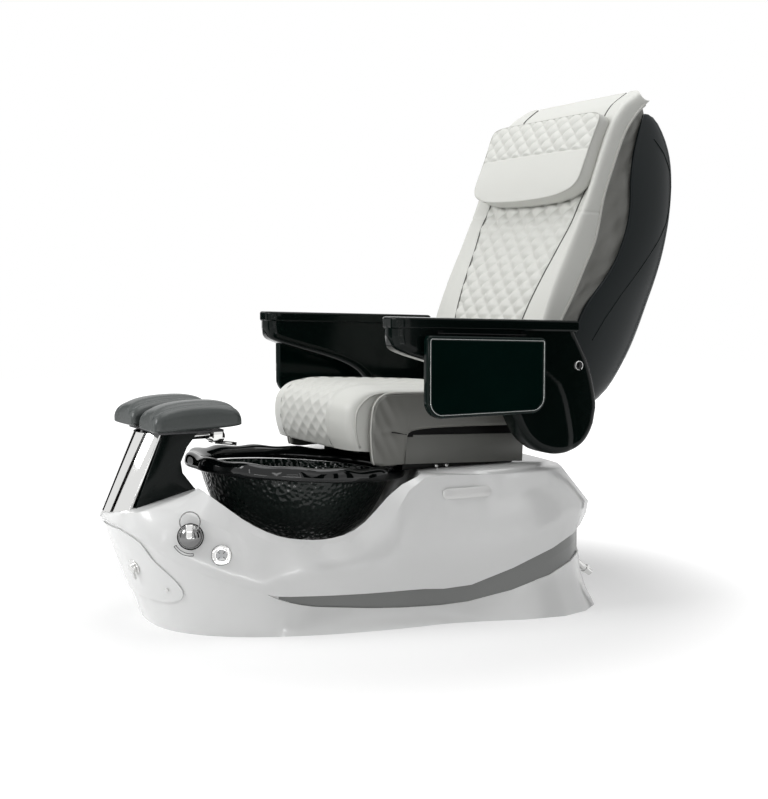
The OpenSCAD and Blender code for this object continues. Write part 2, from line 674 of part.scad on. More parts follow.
// Cable from the drain lever to the stopper.
cable_r = 3;
cable_end = [0, -bowl_ahead - 2, bowl_foot_z - 31];
cable_route = concat([nose_at - 18.6 * nose_out, nose_at - 30 * nose_out],
    [[56, -640, 142], [50, -590, 120], [42, -540, 106], [34, -490, 100], [26, -440, 100],
     [16, -390, 106], [8, -340, 116], [3, -300, 127]],
    [cable_end - [0, 40, 3], cable_end - [0, 28, 0], cable_end - [0, 22.4, 0]]);
module sweep_tube(path, r, sides) {
    n = len(path);
    rings = [for (i = [0 : n - 1])
        let (d = path[min(i + 1, n - 1)] - path[max(i - 1, 0)], t = d / norm(d),
             s = cross(t, [1, 0, 0]) / norm(cross(t, [1, 0, 0])), b = cross(t, s))
        [for (j = [0 : sides - 1]) let (a = 360 * j / sides)
            path[i] + r * (cos(a) * s + sin(a) * b)]];
    ends = [for (j = [1 : sides - 2]) [0, j, j + 1]];
    far = [for (e = ends) let (k = (n - 1) * sides) [e[0] + k, e[2] + k, e[1] + k]];
    polyhedron([for (ring = rings) for (p = ring) p],
               concat(strip_faces(n, sides, true, true), ends, far), convexity = 6);
}
module drain_link() {
    color("black") sweep_tube(cable_route, cable_r, 8);
}

// Whirlpool jet in the bowl's front wall.
module jet_hole() {
    bowl_place() jet_place() translate([0, 0, -70]) cylinder(r = jet_r + 16, h = 60);
}
impeller_r = 20;
guard_lift = 11.5;
module jet_housing() {
    color("dimgray") bowl_place() jet_place() difference() {
        union() {
            translate([0, 0, -38]) cylinder(r = jet_r - fit_gap, h = 38 + guard_lift);
            translate([0, 0, -58]) cylinder(r = jet_r + 10, h = 20);
        }
        translate([0, 0, -22]) cylinder(r = impeller_r + 5, h = 60);
        translate([0, 0, -46]) cylinder(r = 3.05, h = 40);
    }
}
module jet_impeller() {
    color("white") bowl_place() jet_place() {
        translate([0, 0, -20]) cylinder(r = impeller_r - 2, h = 3);
        translate([0, 0, -44]) cylinder(r = 3, h = 40);
        for (a = [0 : 60 : 300]) rotate([0, 0, a]) translate([2, -1.2, -17.5])
            cube([impeller_r - 4, 2.4, 10]);
    }
}
module jet_guard() {
    color("silver") bowl_place() jet_place() translate([0, 0, guard_lift + 0.3]) difference() {
        cylinder(r = jet_r + 2, h = 5);
        translate([0, 0, -1]) for (a = [0 : 45 : 315]) rotate([0, 0, a]) translate([20, 0, 0])
            cylinder(r = 5, h = 8);
        translate([0, 0, -1]) cylinder(r = 6, h = 8);
    }
}

// Hot and cold supply at the stern: nuts and a white pipe that leaves the skirt.
supply_x = 268;
module supply_place() { translate([supply_x, 497, 122]) rotate([-128, 0, 0]) children(); }
module supply_fittings() {
    color("silver") supply_place() {
        difference() {
            union() {
                cylinder(r = 10, h = 118);
                for (z = [12, 24, 92]) translate([0, 0, z]) cylinder(r = 14, h = 9, $fn = 6);
            }
            translate([0, 0, -1]) cylinder(r = 7, h = 130);
        }
    }
}
badge_angle = 38.5;
module badge_plate() {
    color("whitesmoke") face_place(badge_angle, 0.74) hull() both_sides()
        translate([52, 0, 1.6]) cylinder(r = 14, h = 2);
}
module panel_latches() {
    color("silver") for (u = [0.1, 0.9]) let (a = -90 + 26 * (2 * u - 1))
        translate(panel_point(u, 0.2, panel_t + panel_gap + 0.8))
            rotate([90 + atan(nose_rake * nose_share(a)), 0, a + 90]) cylinder(r = 5, h = 2);
}

// ---- Seat ---------------------------------------------------------------------------------------
seat_base_z = 404;
skirt_in = 10;
skirt_half = seat_w / 2 - skirt_in;
skirt_front = -22;
skirt_back = 357;
skirt_h = 73;
skirt_wall = 5;
module seat_place() { translate([0, 0, seat_base_z]) rotate([-seat_tilt, 0, 0]) children(); }
plinth_half = skirt_half - 20;
plinth_front = -64;
plinth_back = 336;
// Black wedge between the level deck and the tilted seat.
module seat_plinth() {
    low = [plinth_front, plinth_back];
    color("black") difference() {
        rotate([90, 0, 90]) linear_extrude(2 * plinth_half, center = true) polygon([
            [low[0], deck_z], [low[1], deck_z],
            [low[1], seat_base_z - 0.5 - low[1] * tan(seat_tilt)],
            [low[0], seat_base_z - 0.5 - low[0] * tan(seat_tilt)]]);
        bowl_place() translate([0, 0, bowl_h - 60]) cylinder(r = rim_r + rim_wave + 5, h = 160);
    }
}
module plinth_bolts() {
    color("silver") both_sides() for (y = [80, 112]) translate([plinth_half, y, deck_z + 7])
        rotate([0, 90, 0]) { cylinder(r = 3.5, h = 10); translate([0, 0, 10]) cylinder(r = 5, h = 4); }
}
rail_x = 150;
rail_w = 34;
rail_front = 40;
rail_back = 330;
module seat_rails() {
    color("gray") seat_place() both_sides() difference() {
        translate([rail_x - rail_w / 2, rail_front, -0.45]) cube([rail_w, rail_back - rail_front,
                                                             rail_h]);
        translate([rail_x - 7, rail_front - 1, 4]) cube([14, 400, rail_h]);
    }
}
frame_z = 78.6;
frame_t = 5;
slider_gap = 0.3;
pan_in = 14;
pan_front = -118;
pan_back = 350;
// Steel pan under the cushion with two sliders that ride on the rails.
module seat_frame() {
    color("dimgray") seat_place() {
        difference() {
            translate([-skirt_half + pan_in, pan_front, frame_z])
                cube([2 * (skirt_half - pan_in), pan_back - pan_front, frame_t]);
            translate([-80, 40, frame_z - 1]) cube([160, 180, frame_t + 2]);
        }
        both_sides() {
            translate([rail_x - 20, rail_front + 50, rail_h - 0.5 + slider_gap]) cube([40, 190, 8]);
            translate([rail_x - 6.5, rail_front + 50, 4 + slider_gap])
                cube([13, 190, rail_h - 4]);
            translate([rail_x - 20, rail_front + 50, rail_h + 7])
                cube([5, 190, frame_z - rail_h - 7]);
        }
    }
}
module seat_actuator() {
    color("gray") seat_place() {
        translate([-30, 60, -0.45]) cube([60, 80, 52]);
        translate([0, 140, 26]) rotate([-90, 0, 0]) cylinder(r = 7, h = 150);
        translate([-16, 290, -0.45]) cube([32, 14, 40]);
    }
}
// Cushion: a padded slab that runs forward along the top and turns down the front.
cushion_cells_x = 16;
seat_low = 84;
seat_high = seat_low + seat_t;
seat_out = [[0, 318, seat_high - 10], [0.2, 240, seat_high - 4], [0.42, 110, seat_high - 1],
            [0.6, -30, seat_high], [0.7, -110, seat_high - 1],
            [0.78, -165, seat_high - 14], [0.85, -199, 160], [0.92, -207, 116], [0.97, -200, 70], [1, -184, 36]];
seat_in = [[0, 318, seat_low], [0.2, 240, seat_low], [0.42, 110, seat_low], [0.6, -30, seat_low],
           [0.7, -80, seat_low], [0.78, -118, seat_low], [0.85, -150, 82], [0.92, -158, 70], [0.97, -158, 52],
           [1, -160, 34]];
seat_rows = 24;
tuft = 3.5;
function tuft_at(i, j, from, to) = j > from && j < to && (i + j) % 2 == 0 ? tuft : 0;
cushion_side = side_t + fit_gap;
function seat_point(i, j, up) =
    let (v = i / seat_rows, w = 2 * j / cushion_cells_x - 1, line = up ? seat_out : seat_in,
         half = seat_w / 2 - cushion_side, x = half * signed_pow(sin(90 * w), 0.95),
         p = [curve(line, v, 1), curve(line, v, 2)], round = pow(abs(w), 5),
         mid = [curve(seat_in, v, 1), curve(seat_in, v, 2)],
         drop = up ? 0.2 * round : 0, sink = up ? tuft_at(i, j, 3, cushion_cells_x - 3) : 0,
         d = (mid - p) / max(1, norm(mid - p)), q = p + (mid - p) * drop + d * sink)
    [x * (1 - 0.012 * sin(180 * v)), q[0], q[1]];
module seat_cushion() {
    color("gainsboro") seat_place() grid_solid(
        [for (i = [0 : seat_rows]) [for (j = [0 : cushion_cells_x]) seat_point(i, j, true)]],
        [for (i = [0 : seat_rows]) [for (j = [0 : cushion_cells_x]) seat_point(i, j, false)]]);
}
panel_x = seat_w / 2;
slot_front = -73;
// Grey upholstered side: a profile in the plane of the seat's side.
seat_side = [[-96, 30], [-102, 90], [-98, 140], [-84, 172], [-60, 186], [0, 190], [120, 192],
             [300, 186], [338, 178], [338, 102], [150, 99], [0, 94], [slot_front, 88], [-24, 76],
             [-24, 0], [-92, 0]];
module seat_panel(side) {
    color("gray") seat_place() translate([side * (panel_x - side_t / 2), 0, 0])
        rotate([90, 0, 90]) linear_extrude(side_t, center = true) polygon(seat_side);
}
module seat_panel_left() seat_panel(1);
module seat_panel_right() seat_panel(-1);
module seat_skirt() {
    color("dimgray") seat_place() {
        difference() {
            translate([-skirt_half, skirt_front, 0]) cube([2 * skirt_half, skirt_back - skirt_front,
                                                          skirt_h]);
            translate([-skirt_half + skirt_wall, skirt_front + skirt_wall, -1])
                cube([2 * (skirt_half - skirt_wall), 600, skirt_h + 2]);
            translate([-skirt_half + skirt_wall, skirt_front - 1, -1])
                cube([2 * (skirt_half - skirt_wall), 20, 24]);
        }
        both_sides() translate([skirt_half - skirt_wall - 9, 0, skirt_h - 2])
            cube([9 + skirt_wall, 340, frame_z - skirt_h + 2 - 0.3]);
    }
}

// ---- Back ---------------------------------------------------------------------------------------
hinge_y = 428;
hinge_z = 500;
hinge_r = 12;
bracket_x = 318;
arm_pin_y = 420;
arm_pin_z = 664;
module arm_brackets() {
    color("dimgray") {
        both_sides() difference() {
            translate([bracket_x - 4, 0, 0]) rotate([90, 0, 90]) linear_extrude(8) polygon([
                [330, 462], [455, 462], [458, 520], [440, 690], [400, 690], [395, 540], [330, 500]]);
            translate([0, hinge_y, hinge_z]) rotate([0, 90, 0]) cylinder(r = hinge_r, h = 400);
            translate([0, arm_pin_y, arm_pin_z]) rotate([0, 90, 0])
                cylinder(r = pivot_r, h = 400);
        }
        seat_place() both_sides() translate([skirt_half - 40, 340, frame_z + frame_t])
            cube([bracket_x - 4 - skirt_half + 40, 19, 30]);
    }
}
module hinge_shaft() {
    color("silver") translate([-bracket_x - 4, hinge_y, hinge_z]) rotate([0, 90, 0])
        cylinder(r = hinge_r, h = 2 * bracket_x + 8);
}
back_lean = 21.5;
module back_place() { translate([0, hinge_y, hinge_z]) rotate([-back_lean, 0, 0]) children(); }
upright_x = 190;
upright_top = 830;
rail_line_x = 60;
massage_rail_y = -28;
module back_frame() {
    color("gray") {
        both_sides() difference() {
            union() {
                translate([upright_x - 25, hinge_y, hinge_z]) rotate([0, 90, 0])
                    cylinder(r = hinge_r + 8, h = 50);
                back_place() translate([upright_x - 15, 6, 14]) cube([30, 20, upright_top - 14]);
            }
            translate([0, hinge_y, hinge_z]) rotate([0, 90, 0])
                cylinder(r = hinge_r + 0.05, h = 400);
        }
        back_place() {
            for (z = [120, upright_top - 30]) translate([-upright_x, 6, z])
                cube([2 * upright_x, 20, 30]);
            both_sides() {
                translate([rail_line_x, massage_rail_y, 125]) cylinder(r = 7, h = upright_top - 145);
                for (z = [125, upright_top - 30])
                    translate([rail_line_x - 8, massage_rail_y, z]) cube([16, 50, 10]);
            }
        }
        // Stand-offs back to the shell and forward to the cushion.
        both_sides() for (z = [850, 1180]) back_bar(z, upright_plane(z) + 24,
            min(shell_inside(upright_x + 6, z - 6), shell_inside(upright_x + 6, z + 6)) - 0.5);
        both_sides() for (z = [760, 1180]) back_bar(z, cushion_inside(z + 6) + 1,
                                                   upright_plane(z) + 8);
    }
}
module back_bar(z, from, to) {
    translate([upright_x, from, z]) rotate([-90, 0, 0]) cylinder(r = 6, h = to - from);
}
function upright_plane(z) = hinge_y + (z - hinge_z) * tan(back_lean);
carriage_z = 330;
roller_y = -56;
module massage_carriage() {
    color("dimgray") back_place() difference() {
        union() {
            translate([-92, massage_rail_y - 12, carriage_z]) cube([184, 24, 70]);
            both_sides() translate([84, roller_y - 10, carriage_z + 20]) cube([8, 40, 30]);
        }
        both_sides() translate([rail_line_x, massage_rail_y, carriage_z - 1])
            cylinder(r = 7.06, h = 72);
        translate([-100, roller_y, carriage_z + 35]) rotate([0, 90, 0]) cylinder(r = 5.05, h = 200);
        both_sides() translate([16.5, roller_y, carriage_z + 35]) rotate([0, 90, 0])
            cylinder(r = roller_r + 1.5, h = 33);
    }
}
module massage_rollers() {
    color("black") back_place() translate([0, roller_y, carriage_z + 35]) rotate([0, 90, 0]) {
        translate([0, 0, -92]) cylinder(r = 5, h = 184);
        both_sides_z() translate([0, 0, 18]) rotate_extrude()
            polygon([[4.5, 0], [roller_r - 5, 0], [roller_r - 1.5, 6], [roller_r - 1.5, 24],
                     [roller_r - 5, 30], [4.5, 30]]);
    }
}
module both_sides_z() {
    children();
    mirror([0, 0, 1]) children();
}
// Lines of the back in the chair's side view, as [height, distance behind the origin].
face_line = [[612, 352], [700, 368], [800, 392], [985, 452], [1150, 505], [1300, 562], [1380, 612],
             [1420, 668]];
seam_line = [[600, 395], [690, 418], [779, 449], [863, 500], [950, 545], [1032, 584], [1145, 607],
             [1240, 640], [1345, 684], [1424, 737], [1450, 760]];
recess_line = [[612, 8], [800, 10], [950, 18], [1050, 38], [1134, 60], [1250, 54], [1346, 48],
               [1420, 40]];
shell_front = [[505, 500], [600, 470], [700, 488], [811, 524], [930, 628], [1074, 688],
               [1200, 698], [1300, 730], [1375, 776]];
shell_rear = [[505, 560], [530, 645], [570, 700], [640, 756], [750, 816], [950, 886], [1125, 921],
              [1250, 924], [1330, 890], [1375, 850]];
shell_rows = 18;
shell_cells = 28;
shell_top = 1375;
shell_low = 505;
function shell_narrow(z) = let (v = (z - shell_low) / (shell_top - shell_low))
    1 - 0.16 * pow(v, 6) - 0.12 * pow(1 - v, 5);
function shell_point(u, i, deep) =
    let (v = clamp((i - 1) / shell_rows, 0, 1), a = 90 * (2 * u - 1), level = mix(shell_low, shell_top, v),
         z = clamp(level, shell_low + deep, shell_top - deep), front = curve(shell_front, z),
         cap = i == 0 || i == shell_rows + 2, rear = cap ? front + 8 : curve(shell_rear, level),
         x = (shell_half - deep) * shell_narrow(z) * signed_pow(sin(a), 0.45) * (cap ? 0.98 : 1),
         y = front + (rear - front - deep) * pow(max(0, cos(a)), 0.5))
    [x, y, z];
function shell_inside(x, z) =
    let (s = pow(x / ((shell_half - shell_wall) * shell_narrow(z)), 1 / 0.45))
    curve(shell_front, z) + (curve(shell_rear, z) - curve(shell_front, z) - shell_wall)
        * pow(1 - s * s, 0.25);
module back_shell() {
    // A wall open towards the cushion, closed above and below.
    color("black") grid_solid(
        [for (i = [0 : shell_rows + 2]) [for (j = [0 : shell_cells])
            shell_point(j / shell_cells, i, 0)]],
        [for (i = [0 : shell_rows + 2]) [for (j = [0 : shell_cells])
            shell_point(j / shell_cells, i, shell_wall)]]);
}
back_rows = 28;
back_cells = 20;
back_low = 612;
back_high = 1420;
// Share of the recess and of the turn back to the seam at each column from the middle out.
wing_recess = [[0, 1], [0.6, 1], [0.7, 0], [1, 0]];
wing_turn = [[0, 0], [0.6, 0], [0.7, 0], [0.8, 0.07], [0.9, 0.36], [1, 0.9]];
function cushion_rear(z) = curve(face_line, z) + max(back_t - 6, curve(recess_line, z) + 22);
function cushion_inside(z) = mix(cushion_rear(z - 26), curve(seam_line, z - 4) + 2, 0.024);
function cushion_front(z) =
    let (span = back_high - back_low, v0 = (z - back_low) / span,
         v1 = (z - 18 * v0 ^ 9 - back_low) / span, v = (z - 18 * v1 ^ 9 - back_low) / span,
         at = mix(back_low, back_high, v))
    curve(face_line, at) + curve(recess_line, at) + 34 * v ^ 9;
function back_point(i, j, up) =
    let (v = i / back_rows, w = abs(2 * j / back_cells - 1), side = sign(j - back_cells / 2),
         z = mix(back_low, back_high, v), face = curve(face_line, z), seam = curve(seam_line, z + 22),
         turn = lookup(w, wing_turn), x = side * back_w / 2 * pow(sin(90 * w), 0.95),
         front = mix(face, seam, turn) + curve(recess_line, z) * lookup(w, wing_recess),
         sink = v < 0.62 ? tuft_at(i, j, 4, back_cells - 4) : 0, over = pow(v, 9),
         rear = mix(cushion_rear(z), seam + 2, pow(w, 4.5)))
    up ? [x, front + sink + over * 34, z + over * (18 - 12 * turn)]
       : [x * 0.985, max(front + 8, rear) + over * 10, z + 26 - over * 40];
module back_cushion() {
    color("gainsboro") grid_solid(
        [for (i = [0 : back_rows]) [for (j = [0 : back_cells]) back_point(i, j, true)]],
        [for (i = [0 : back_rows]) [for (j = [0 : back_cells]) back_point(i, j, false)]], true);
}
gusset_rows = 20;
gusset_t = 4;
function gusset_point(i, c, deep) =
    let (v = i / gusset_rows, p = back_point(back_rows * mix(0.03, 0.93, v), back_cells, false),
         z = p[2], inside = (shell_half - shell_wall) * shell_narrow(z) - 1,
         from = p[1] + 1, to = curve(shell_front, z), pleat = 3 * abs(sin(180 * 5 * v)))
    c == 0 ? [p[0] - 0.5 - deep, from, z]
    : c == 1 ? [(p[0] + inside) / 2 - deep - pleat, (from + to - 5) / 2, z]
    : c == 2 ? [inside - 1 - deep, to - 5, z]
    : [inside - deep, to + 14, z];
module back_gussets() {
    color("silver") both_sides() grid_solid(
        [for (c = [3 : -1 : 0]) [for (i = [0 : gusset_rows]) gusset_point(i, c, 0)]],
        [for (c = [3 : -1 : 0]) [for (i = [0 : gusset_rows]) gusset_point(i, c, gusset_t)]], true);
}
// Head pillow, hung from a pin across the top of the back.
pillow_z = 1243;
pillow_lean = 20;
pillow_rows = 14;
pillow_cells = 14;
pillow_y = curve(face_line, pillow_z) + curve(recess_line, pillow_z) - 6;
module pillow_place() {
    translate([0, pillow_y, pillow_z]) rotate([-pillow_lean, 0, 0]) children();
}
function pillow_point(i, j, up) =
    let (u = 2 * j / pillow_cells - 1, v = 2 * i / pillow_rows - 1,
         full = pad_edge((u + 1) / 2, 3.4) * pad_edge((v + 1) / 2, 3),
         sink = i > 6 && i < pillow_rows && j > 0 && j < pillow_cells && (i + j) % 2 == 0 ? 3 : 0,
         droop = v < 0 ? 14 * (1 - u * u) * v : 0)
    [pillow_w / 2 * signed_pow(sin(90 * u), 0.9) * (1 - 0.05 * (1 - v * v)),
     up ? -pillow_t * (0.12 + 0.80 * full) + sink - (v < 0 ? 8 * full : 0)
        : -pillow_t * 0.05 * (1 - full),
     pillow_h / 2 * signed_pow(sin(90 * v), 0.9) + droop];
module head_pillow() {
    color("gainsboro") pillow_place() translate([0, -3, 0]) grid_solid(
        [for (i = [0 : pillow_rows]) [for (j = [0 : pillow_cells]) pillow_point(i, j, true)]],
        [for (i = [0 : pillow_rows]) [for (j = [0 : pillow_cells]) pillow_point(i, j, false)]],
        true);
}
pin_z = pillow_h / 2 + 4.3;
pin_at = [pillow_y + sin(pillow_lean) * pin_z - cos(pillow_lean) * 4,
          pillow_z + cos(pillow_lean) * pin_z + sin(pillow_lean) * 4];
pin_half = pillow_w / 2 - 14;
module pillow_pivot() {
    color("silver") {
        translate([-pin_half, pin_at[0], pin_at[1]]) rotate([0, 90, 0])
            cylinder(r = 4, h = 2 * pin_half);
        both_sides() translate([pin_half - 12, pin_at[0], pin_at[1] - 4])
            cube([12, cushion_front(pin_at[1] - 4) - 0.6 - pin_at[0], 8]);
    }
}

// ---- Arms ---------------------------------------------------------------------------------------
arm_front = -151;
arm_top_z = 797;
arm_slope = 1.7;
arm_back = 414;
// Side view of an arm: a deep body under a slim plate, which runs back into the lobe round the pivot.
arm_side = [[arm_front + 8, 775], [-142, 730], [-120, 712], [-49, 688], [60, 658], [120, 636],
            [160, 613], [190, 580], [215, 536], [246, 482], [287, 447], [320, 433], [354, 426],
            [390, 427], [421, 435], [446, 449], [466, 470], [482, 502], [490, 545], [486, 590],
            [472, 645], [440, 712], [arm_back, 757]];
module arm(side) {
    color("black") translate([side * arm_x, 0, 0]) difference() {
        union() {
            rotate([90, 0, 90]) linear_extrude(arm_w - 36, center = true) polygon(arm_side);
            translate([0, 0, arm_top_z]) rotate([-arm_slope, 0, 0]) translate([0, 0, -arm_t]) {
                translate([-arm_w / 2, arm_front + arm_w / 2, 0])
                    cube([arm_w, arm_back - arm_front - arm_w / 2, arm_t]);
                translate([0, arm_front + arm_w / 2, 0]) cylinder(r = arm_w / 2, h = arm_t);
            }
        }
        translate([0, arm_pin_y, arm_pin_z]) rotate([0, 90, 0])
            cylinder(r = pivot_r + 0.05, h = 400, center = true);
    }
}
module arm_left() arm(1);
module arm_right() arm(-1);
module arm_pins() {
    color("silver") both_sides() translate([bracket_x - 4, arm_pin_y, arm_pin_z])
        rotate([0, 90, 0]) {
            cylinder(r = pivot_r, h = arm_x + arm_w / 2 - 18 - bracket_x + 4 + 2);
            translate([0, 0, arm_x + arm_w / 2 - 18 - bracket_x + 4 + 1])
                cylinder(r = pivot_r + 5, h = 4);
        }
}
tray_corner = 44;
tray_top_corner = 14;
tray_front = -70;
tray_gap = 3;
tray_frame_w = 16;
tray_top_z = 757;
module tray_outline(inset) {
    hull() {
        translate([inset + tray_corner - inset, -tray_drop + tray_corner])
            circle(r = tray_corner - inset);
        translate([tray_len - tray_corner, -tray_drop + tray_corner])
            circle(r = tray_corner - inset);
        translate([inset + tray_top_corner, -inset - tray_top_corner]) circle(r = tray_top_corner);
        translate([tray_len - inset - tray_top_corner, -inset - tray_top_corner])
            circle(r = tray_top_corner);
    }
}
tray_tilt = 2;
module tray_place(side) {
    translate([side * (arm_x + arm_w / 2 + tray_gap), tray_front, tray_top_z])
        rotate([-tray_tilt, 0, 0]) rotate([90, 0, 90]) mirror([0, 0, side > 0 ? 0 : 1]) children();
}
module tray(side) {
    color("black") tray_place(side)
        difference() {
            union() {
                linear_extrude(tray_t) tray_outline(0);
                for (x = knuckles) {
                    translate([x, hinge_up, -hinge_in]) rotate([0, 90, 0])
                        cylinder(r = 5, h = knuckle_len);
                    translate([x, -9, -hinge_in]) cube([knuckle_len, 9 + hinge_up, hinge_in + 2]);
                }
            }
            translate([0, 0, tray_t - 3]) linear_extrude(4) tray_outline(tray_frame_w);
            translate([0, hinge_up, -hinge_in]) rotate([0, 90, 0])
                cylinder(r = tray_pin_r + 0.05, h = tray_len);
        }
}
// Pin and two hangers under the arm's plate that carry the tray.
knuckles = [57, 234];
knuckle_len = 59;
hinge_up = 2;
hinge_in = 4;
tray_pin_r = 3;
module tray_hinge(side) {
    color("gray") tray_place(side) {
        translate([40, hinge_up, -hinge_in]) rotate([0, 90, 0]) cylinder(r = tray_pin_r, h = 270);
        translate([40, -2, -hinge_in - 4.5]) cube([16, 13, 6]);
        translate([294, -2, -hinge_in - 4.5]) cube([16, 14.2, 6]);
    }
}
module tray_left() tray(1);
module tray_right() tray(-1);
module tray_hinge_left() tray_hinge(1);
module tray_hinge_right() tray_hinge(-1);

base_frame();
levelling_feet();
base_skirt();
trim_band();
upper_shell();
access_panel();
panel_latches();
badge_plate();
bowl_stand();
bowl();
bowl_rim();
drain_body();
drain_pipe();
drain_stopper();
drain_link();
drain_lever();
lever_escutcheon();
jet_housing();
jet_impeller();
jet_guard();
mixing_valve();
mixer_escutcheon();
mixer_knob();
air_button();
button_bezel();
supply_fittings();
footrest_housing();
footrest_column();
footrest_guide();
footrest_post();
footrest_bracket();
footrest_pad_left();
footrest_pad_right();
faucet();
seat_plinth();
plinth_bolts();
seat_rails();
seat_actuator();
seat_frame();
seat_cushion();
seat_panel_left();
seat_panel_right();
seat_skirt();
arm_brackets();
hinge_shaft();
back_frame();
back_shell();
back_cushion();
back_gussets();
massage_carriage();
massage_rollers();
head_pillow();
pillow_pivot();
arm_left();
arm_right();
arm_pins();
tray_hinge_left();
tray_hinge_right();
tray_left();
tray_right();
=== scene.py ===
import json
import math
import bmesh
import bpy
import numpy as np
from mathutils import Matrix, Vector
from mathutils.bvhtree import BVHTree

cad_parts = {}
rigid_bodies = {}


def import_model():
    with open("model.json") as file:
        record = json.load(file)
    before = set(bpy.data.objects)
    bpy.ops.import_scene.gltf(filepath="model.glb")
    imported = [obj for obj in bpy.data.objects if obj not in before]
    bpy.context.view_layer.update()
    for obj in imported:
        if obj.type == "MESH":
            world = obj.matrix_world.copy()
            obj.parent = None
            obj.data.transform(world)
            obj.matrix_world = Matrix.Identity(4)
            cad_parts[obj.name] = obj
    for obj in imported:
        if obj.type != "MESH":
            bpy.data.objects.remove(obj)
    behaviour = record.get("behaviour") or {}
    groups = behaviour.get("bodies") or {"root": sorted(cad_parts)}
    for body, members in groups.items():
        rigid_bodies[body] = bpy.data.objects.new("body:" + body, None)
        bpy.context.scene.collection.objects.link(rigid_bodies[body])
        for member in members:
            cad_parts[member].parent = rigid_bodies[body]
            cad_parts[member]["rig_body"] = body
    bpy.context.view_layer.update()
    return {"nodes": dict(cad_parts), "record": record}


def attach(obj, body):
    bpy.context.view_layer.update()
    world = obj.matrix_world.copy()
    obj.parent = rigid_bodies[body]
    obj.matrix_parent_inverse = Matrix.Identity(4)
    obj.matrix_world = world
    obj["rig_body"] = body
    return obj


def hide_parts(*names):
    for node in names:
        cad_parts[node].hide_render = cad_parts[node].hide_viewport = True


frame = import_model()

# %% [markdown]
# A pedicure spa chair, dressed over its CAD frame.
# The CAD model gives every piece its place and size. Here each one gets the surface that the eye
# expects: padded leather with quilting, moulded gloss plastic, hammered glass and chrome.
# All lengths are metres, +X is the sitter's left, -Y is the foot bath and +Z is up.

# %% The frame that was loaded
NODES = frame["nodes"]

def placed(name, data):
    o = bpy.data.objects.new(name, data)
    bpy.context.scene.collection.objects.link(o)
    return o

def mesh_of(bm, name):
    me = bpy.data.meshes.new(name)
    bm.to_mesh(me)
    bm.free()
    return me

def paint_with(me, material):
    me.materials.clear()
    me.materials.append(material)

def math_node(tree, operation):
    node = tree.nodes.new("ShaderNodeMath")
    node.operation = operation
    return node

def wire(tree, pairs):
    for source, target in pairs:
        tree.links.new(source, target)

# %% [markdown]
# The camera stands at the sitter's front left, a little below the top of the back, and looks
# slightly down. A long lens keeps the perspective calm.

# %% Camera
SENSOR_WIDE = 36
PICTURE_HIGH = 799
FOCAL = 1300

def place_camera(at, azimuth, pitch, lens):
    cam = placed("camera", bpy.data.cameras.new("camera"))
    a, p = math.radians(azimuth), math.radians(pitch)
    look = Vector((-math.sin(a) * math.cos(p), math.cos(a) * math.cos(p), -math.sin(p)))
    cam.location = at
    cam.rotation_mode = "QUATERNION"
    cam.rotation_quaternion = look.to_track_quat("-Z", "Y")
    cam.data.lens, cam.data.sensor_width = lens, SENSOR_WIDE
    bpy.context.scene.camera = cam
    return cam

camera = place_camera((3.23, -1.735, 0.88), 61, 5.03, FOCAL / PICTURE_HIGH * SENSOR_WIDE)
print("camera at", tuple(camera.location))

# %% [markdown]
# A plain studio: a broad key lamp from the front, a weaker one from the side and a soft ceiling
# lamp. The world is white to the camera and in mirrors, but lights the object only
# gently, so that pale leather keeps its shading.

# %% Studio light
def soft_lamp(name, at, aim, size, power):
    lamp = bpy.data.lights.new(name, "AREA")
    lamp.shape, lamp.size, lamp.size_y, lamp.energy = "RECTANGLE", size[0], size[1], power
    o = placed(name, lamp)
    o.location = at
    o.rotation_mode = "QUATERNION"
    o.rotation_quaternion = (Vector(aim) - Vector(at)).to_track_quat("-Z", "Y")

soft_lamp("key_lamp", (-0.7, -3.8, 2.8), (0, 0, 0.6), (2.4, 1.6), 102)
soft_lamp("side_lamp", (4.2, 0.6, 2.6), (0, 0, 0.6), (2.0, 2.0), 7)
soft_lamp("ceiling_lamp", (0, 0.2, 3.6), (0, 0.1, 0), (2.6, 2.6), 44)

world = bpy.data.worlds.new("studio")
world.use_nodes = True
bpy.context.scene.world = world
wt = world.node_tree
wt.nodes.clear()
ray = wt.nodes.new("ShaderNodeLightPath")
seen, seen_through = math_node(wt, "MAXIMUM"), math_node(wt, "MAXIMUM")
plain, white = wt.nodes.new("ShaderNodeBackground"), wt.nodes.new("ShaderNodeBackground")
both = wt.nodes.new("ShaderNodeMixShader")
sky = wt.nodes.new("ShaderNodeOutputWorld")
plain.inputs["Strength"].default_value = 0.35
plain.inputs["Color"].default_value = (1, 1, 1, 1)
white.inputs["Color"].default_value = (1, 1, 1, 1)
wire(wt, ((ray.outputs["Is Camera Ray"], seen.inputs[0]),
          (ray.outputs["Is Glossy Ray"], seen.inputs[1]),
          (seen.outputs[0], seen_through.inputs[0]),
          (ray.outputs["Is Transmission Ray"], seen_through.inputs[1]),
          (seen_through.outputs[0], both.inputs["Fac"]),
          (plain.outputs[0], both.inputs[1]),
          (white.outputs[0], both.inputs[2]),
          (both.outputs[0], sky.inputs["Surface"])))
bpy.context.scene.view_settings.view_transform = "Standard"

# %% [markdown]
# Chrome only shows what stands around it, and in an all-white room it looks like paper. Black
# flags and thin bright strips stand beside the set. They are seen in mirrors only, so they draw
# dark bands and fine bright lines without lighting the rest.

# %% Cards for the mirrors
CARD_ROOM_Y = -0.3
FLAG_FAR, FLAG_LOW, FLAG_HIGH = 2.6, -0.4, 2.2

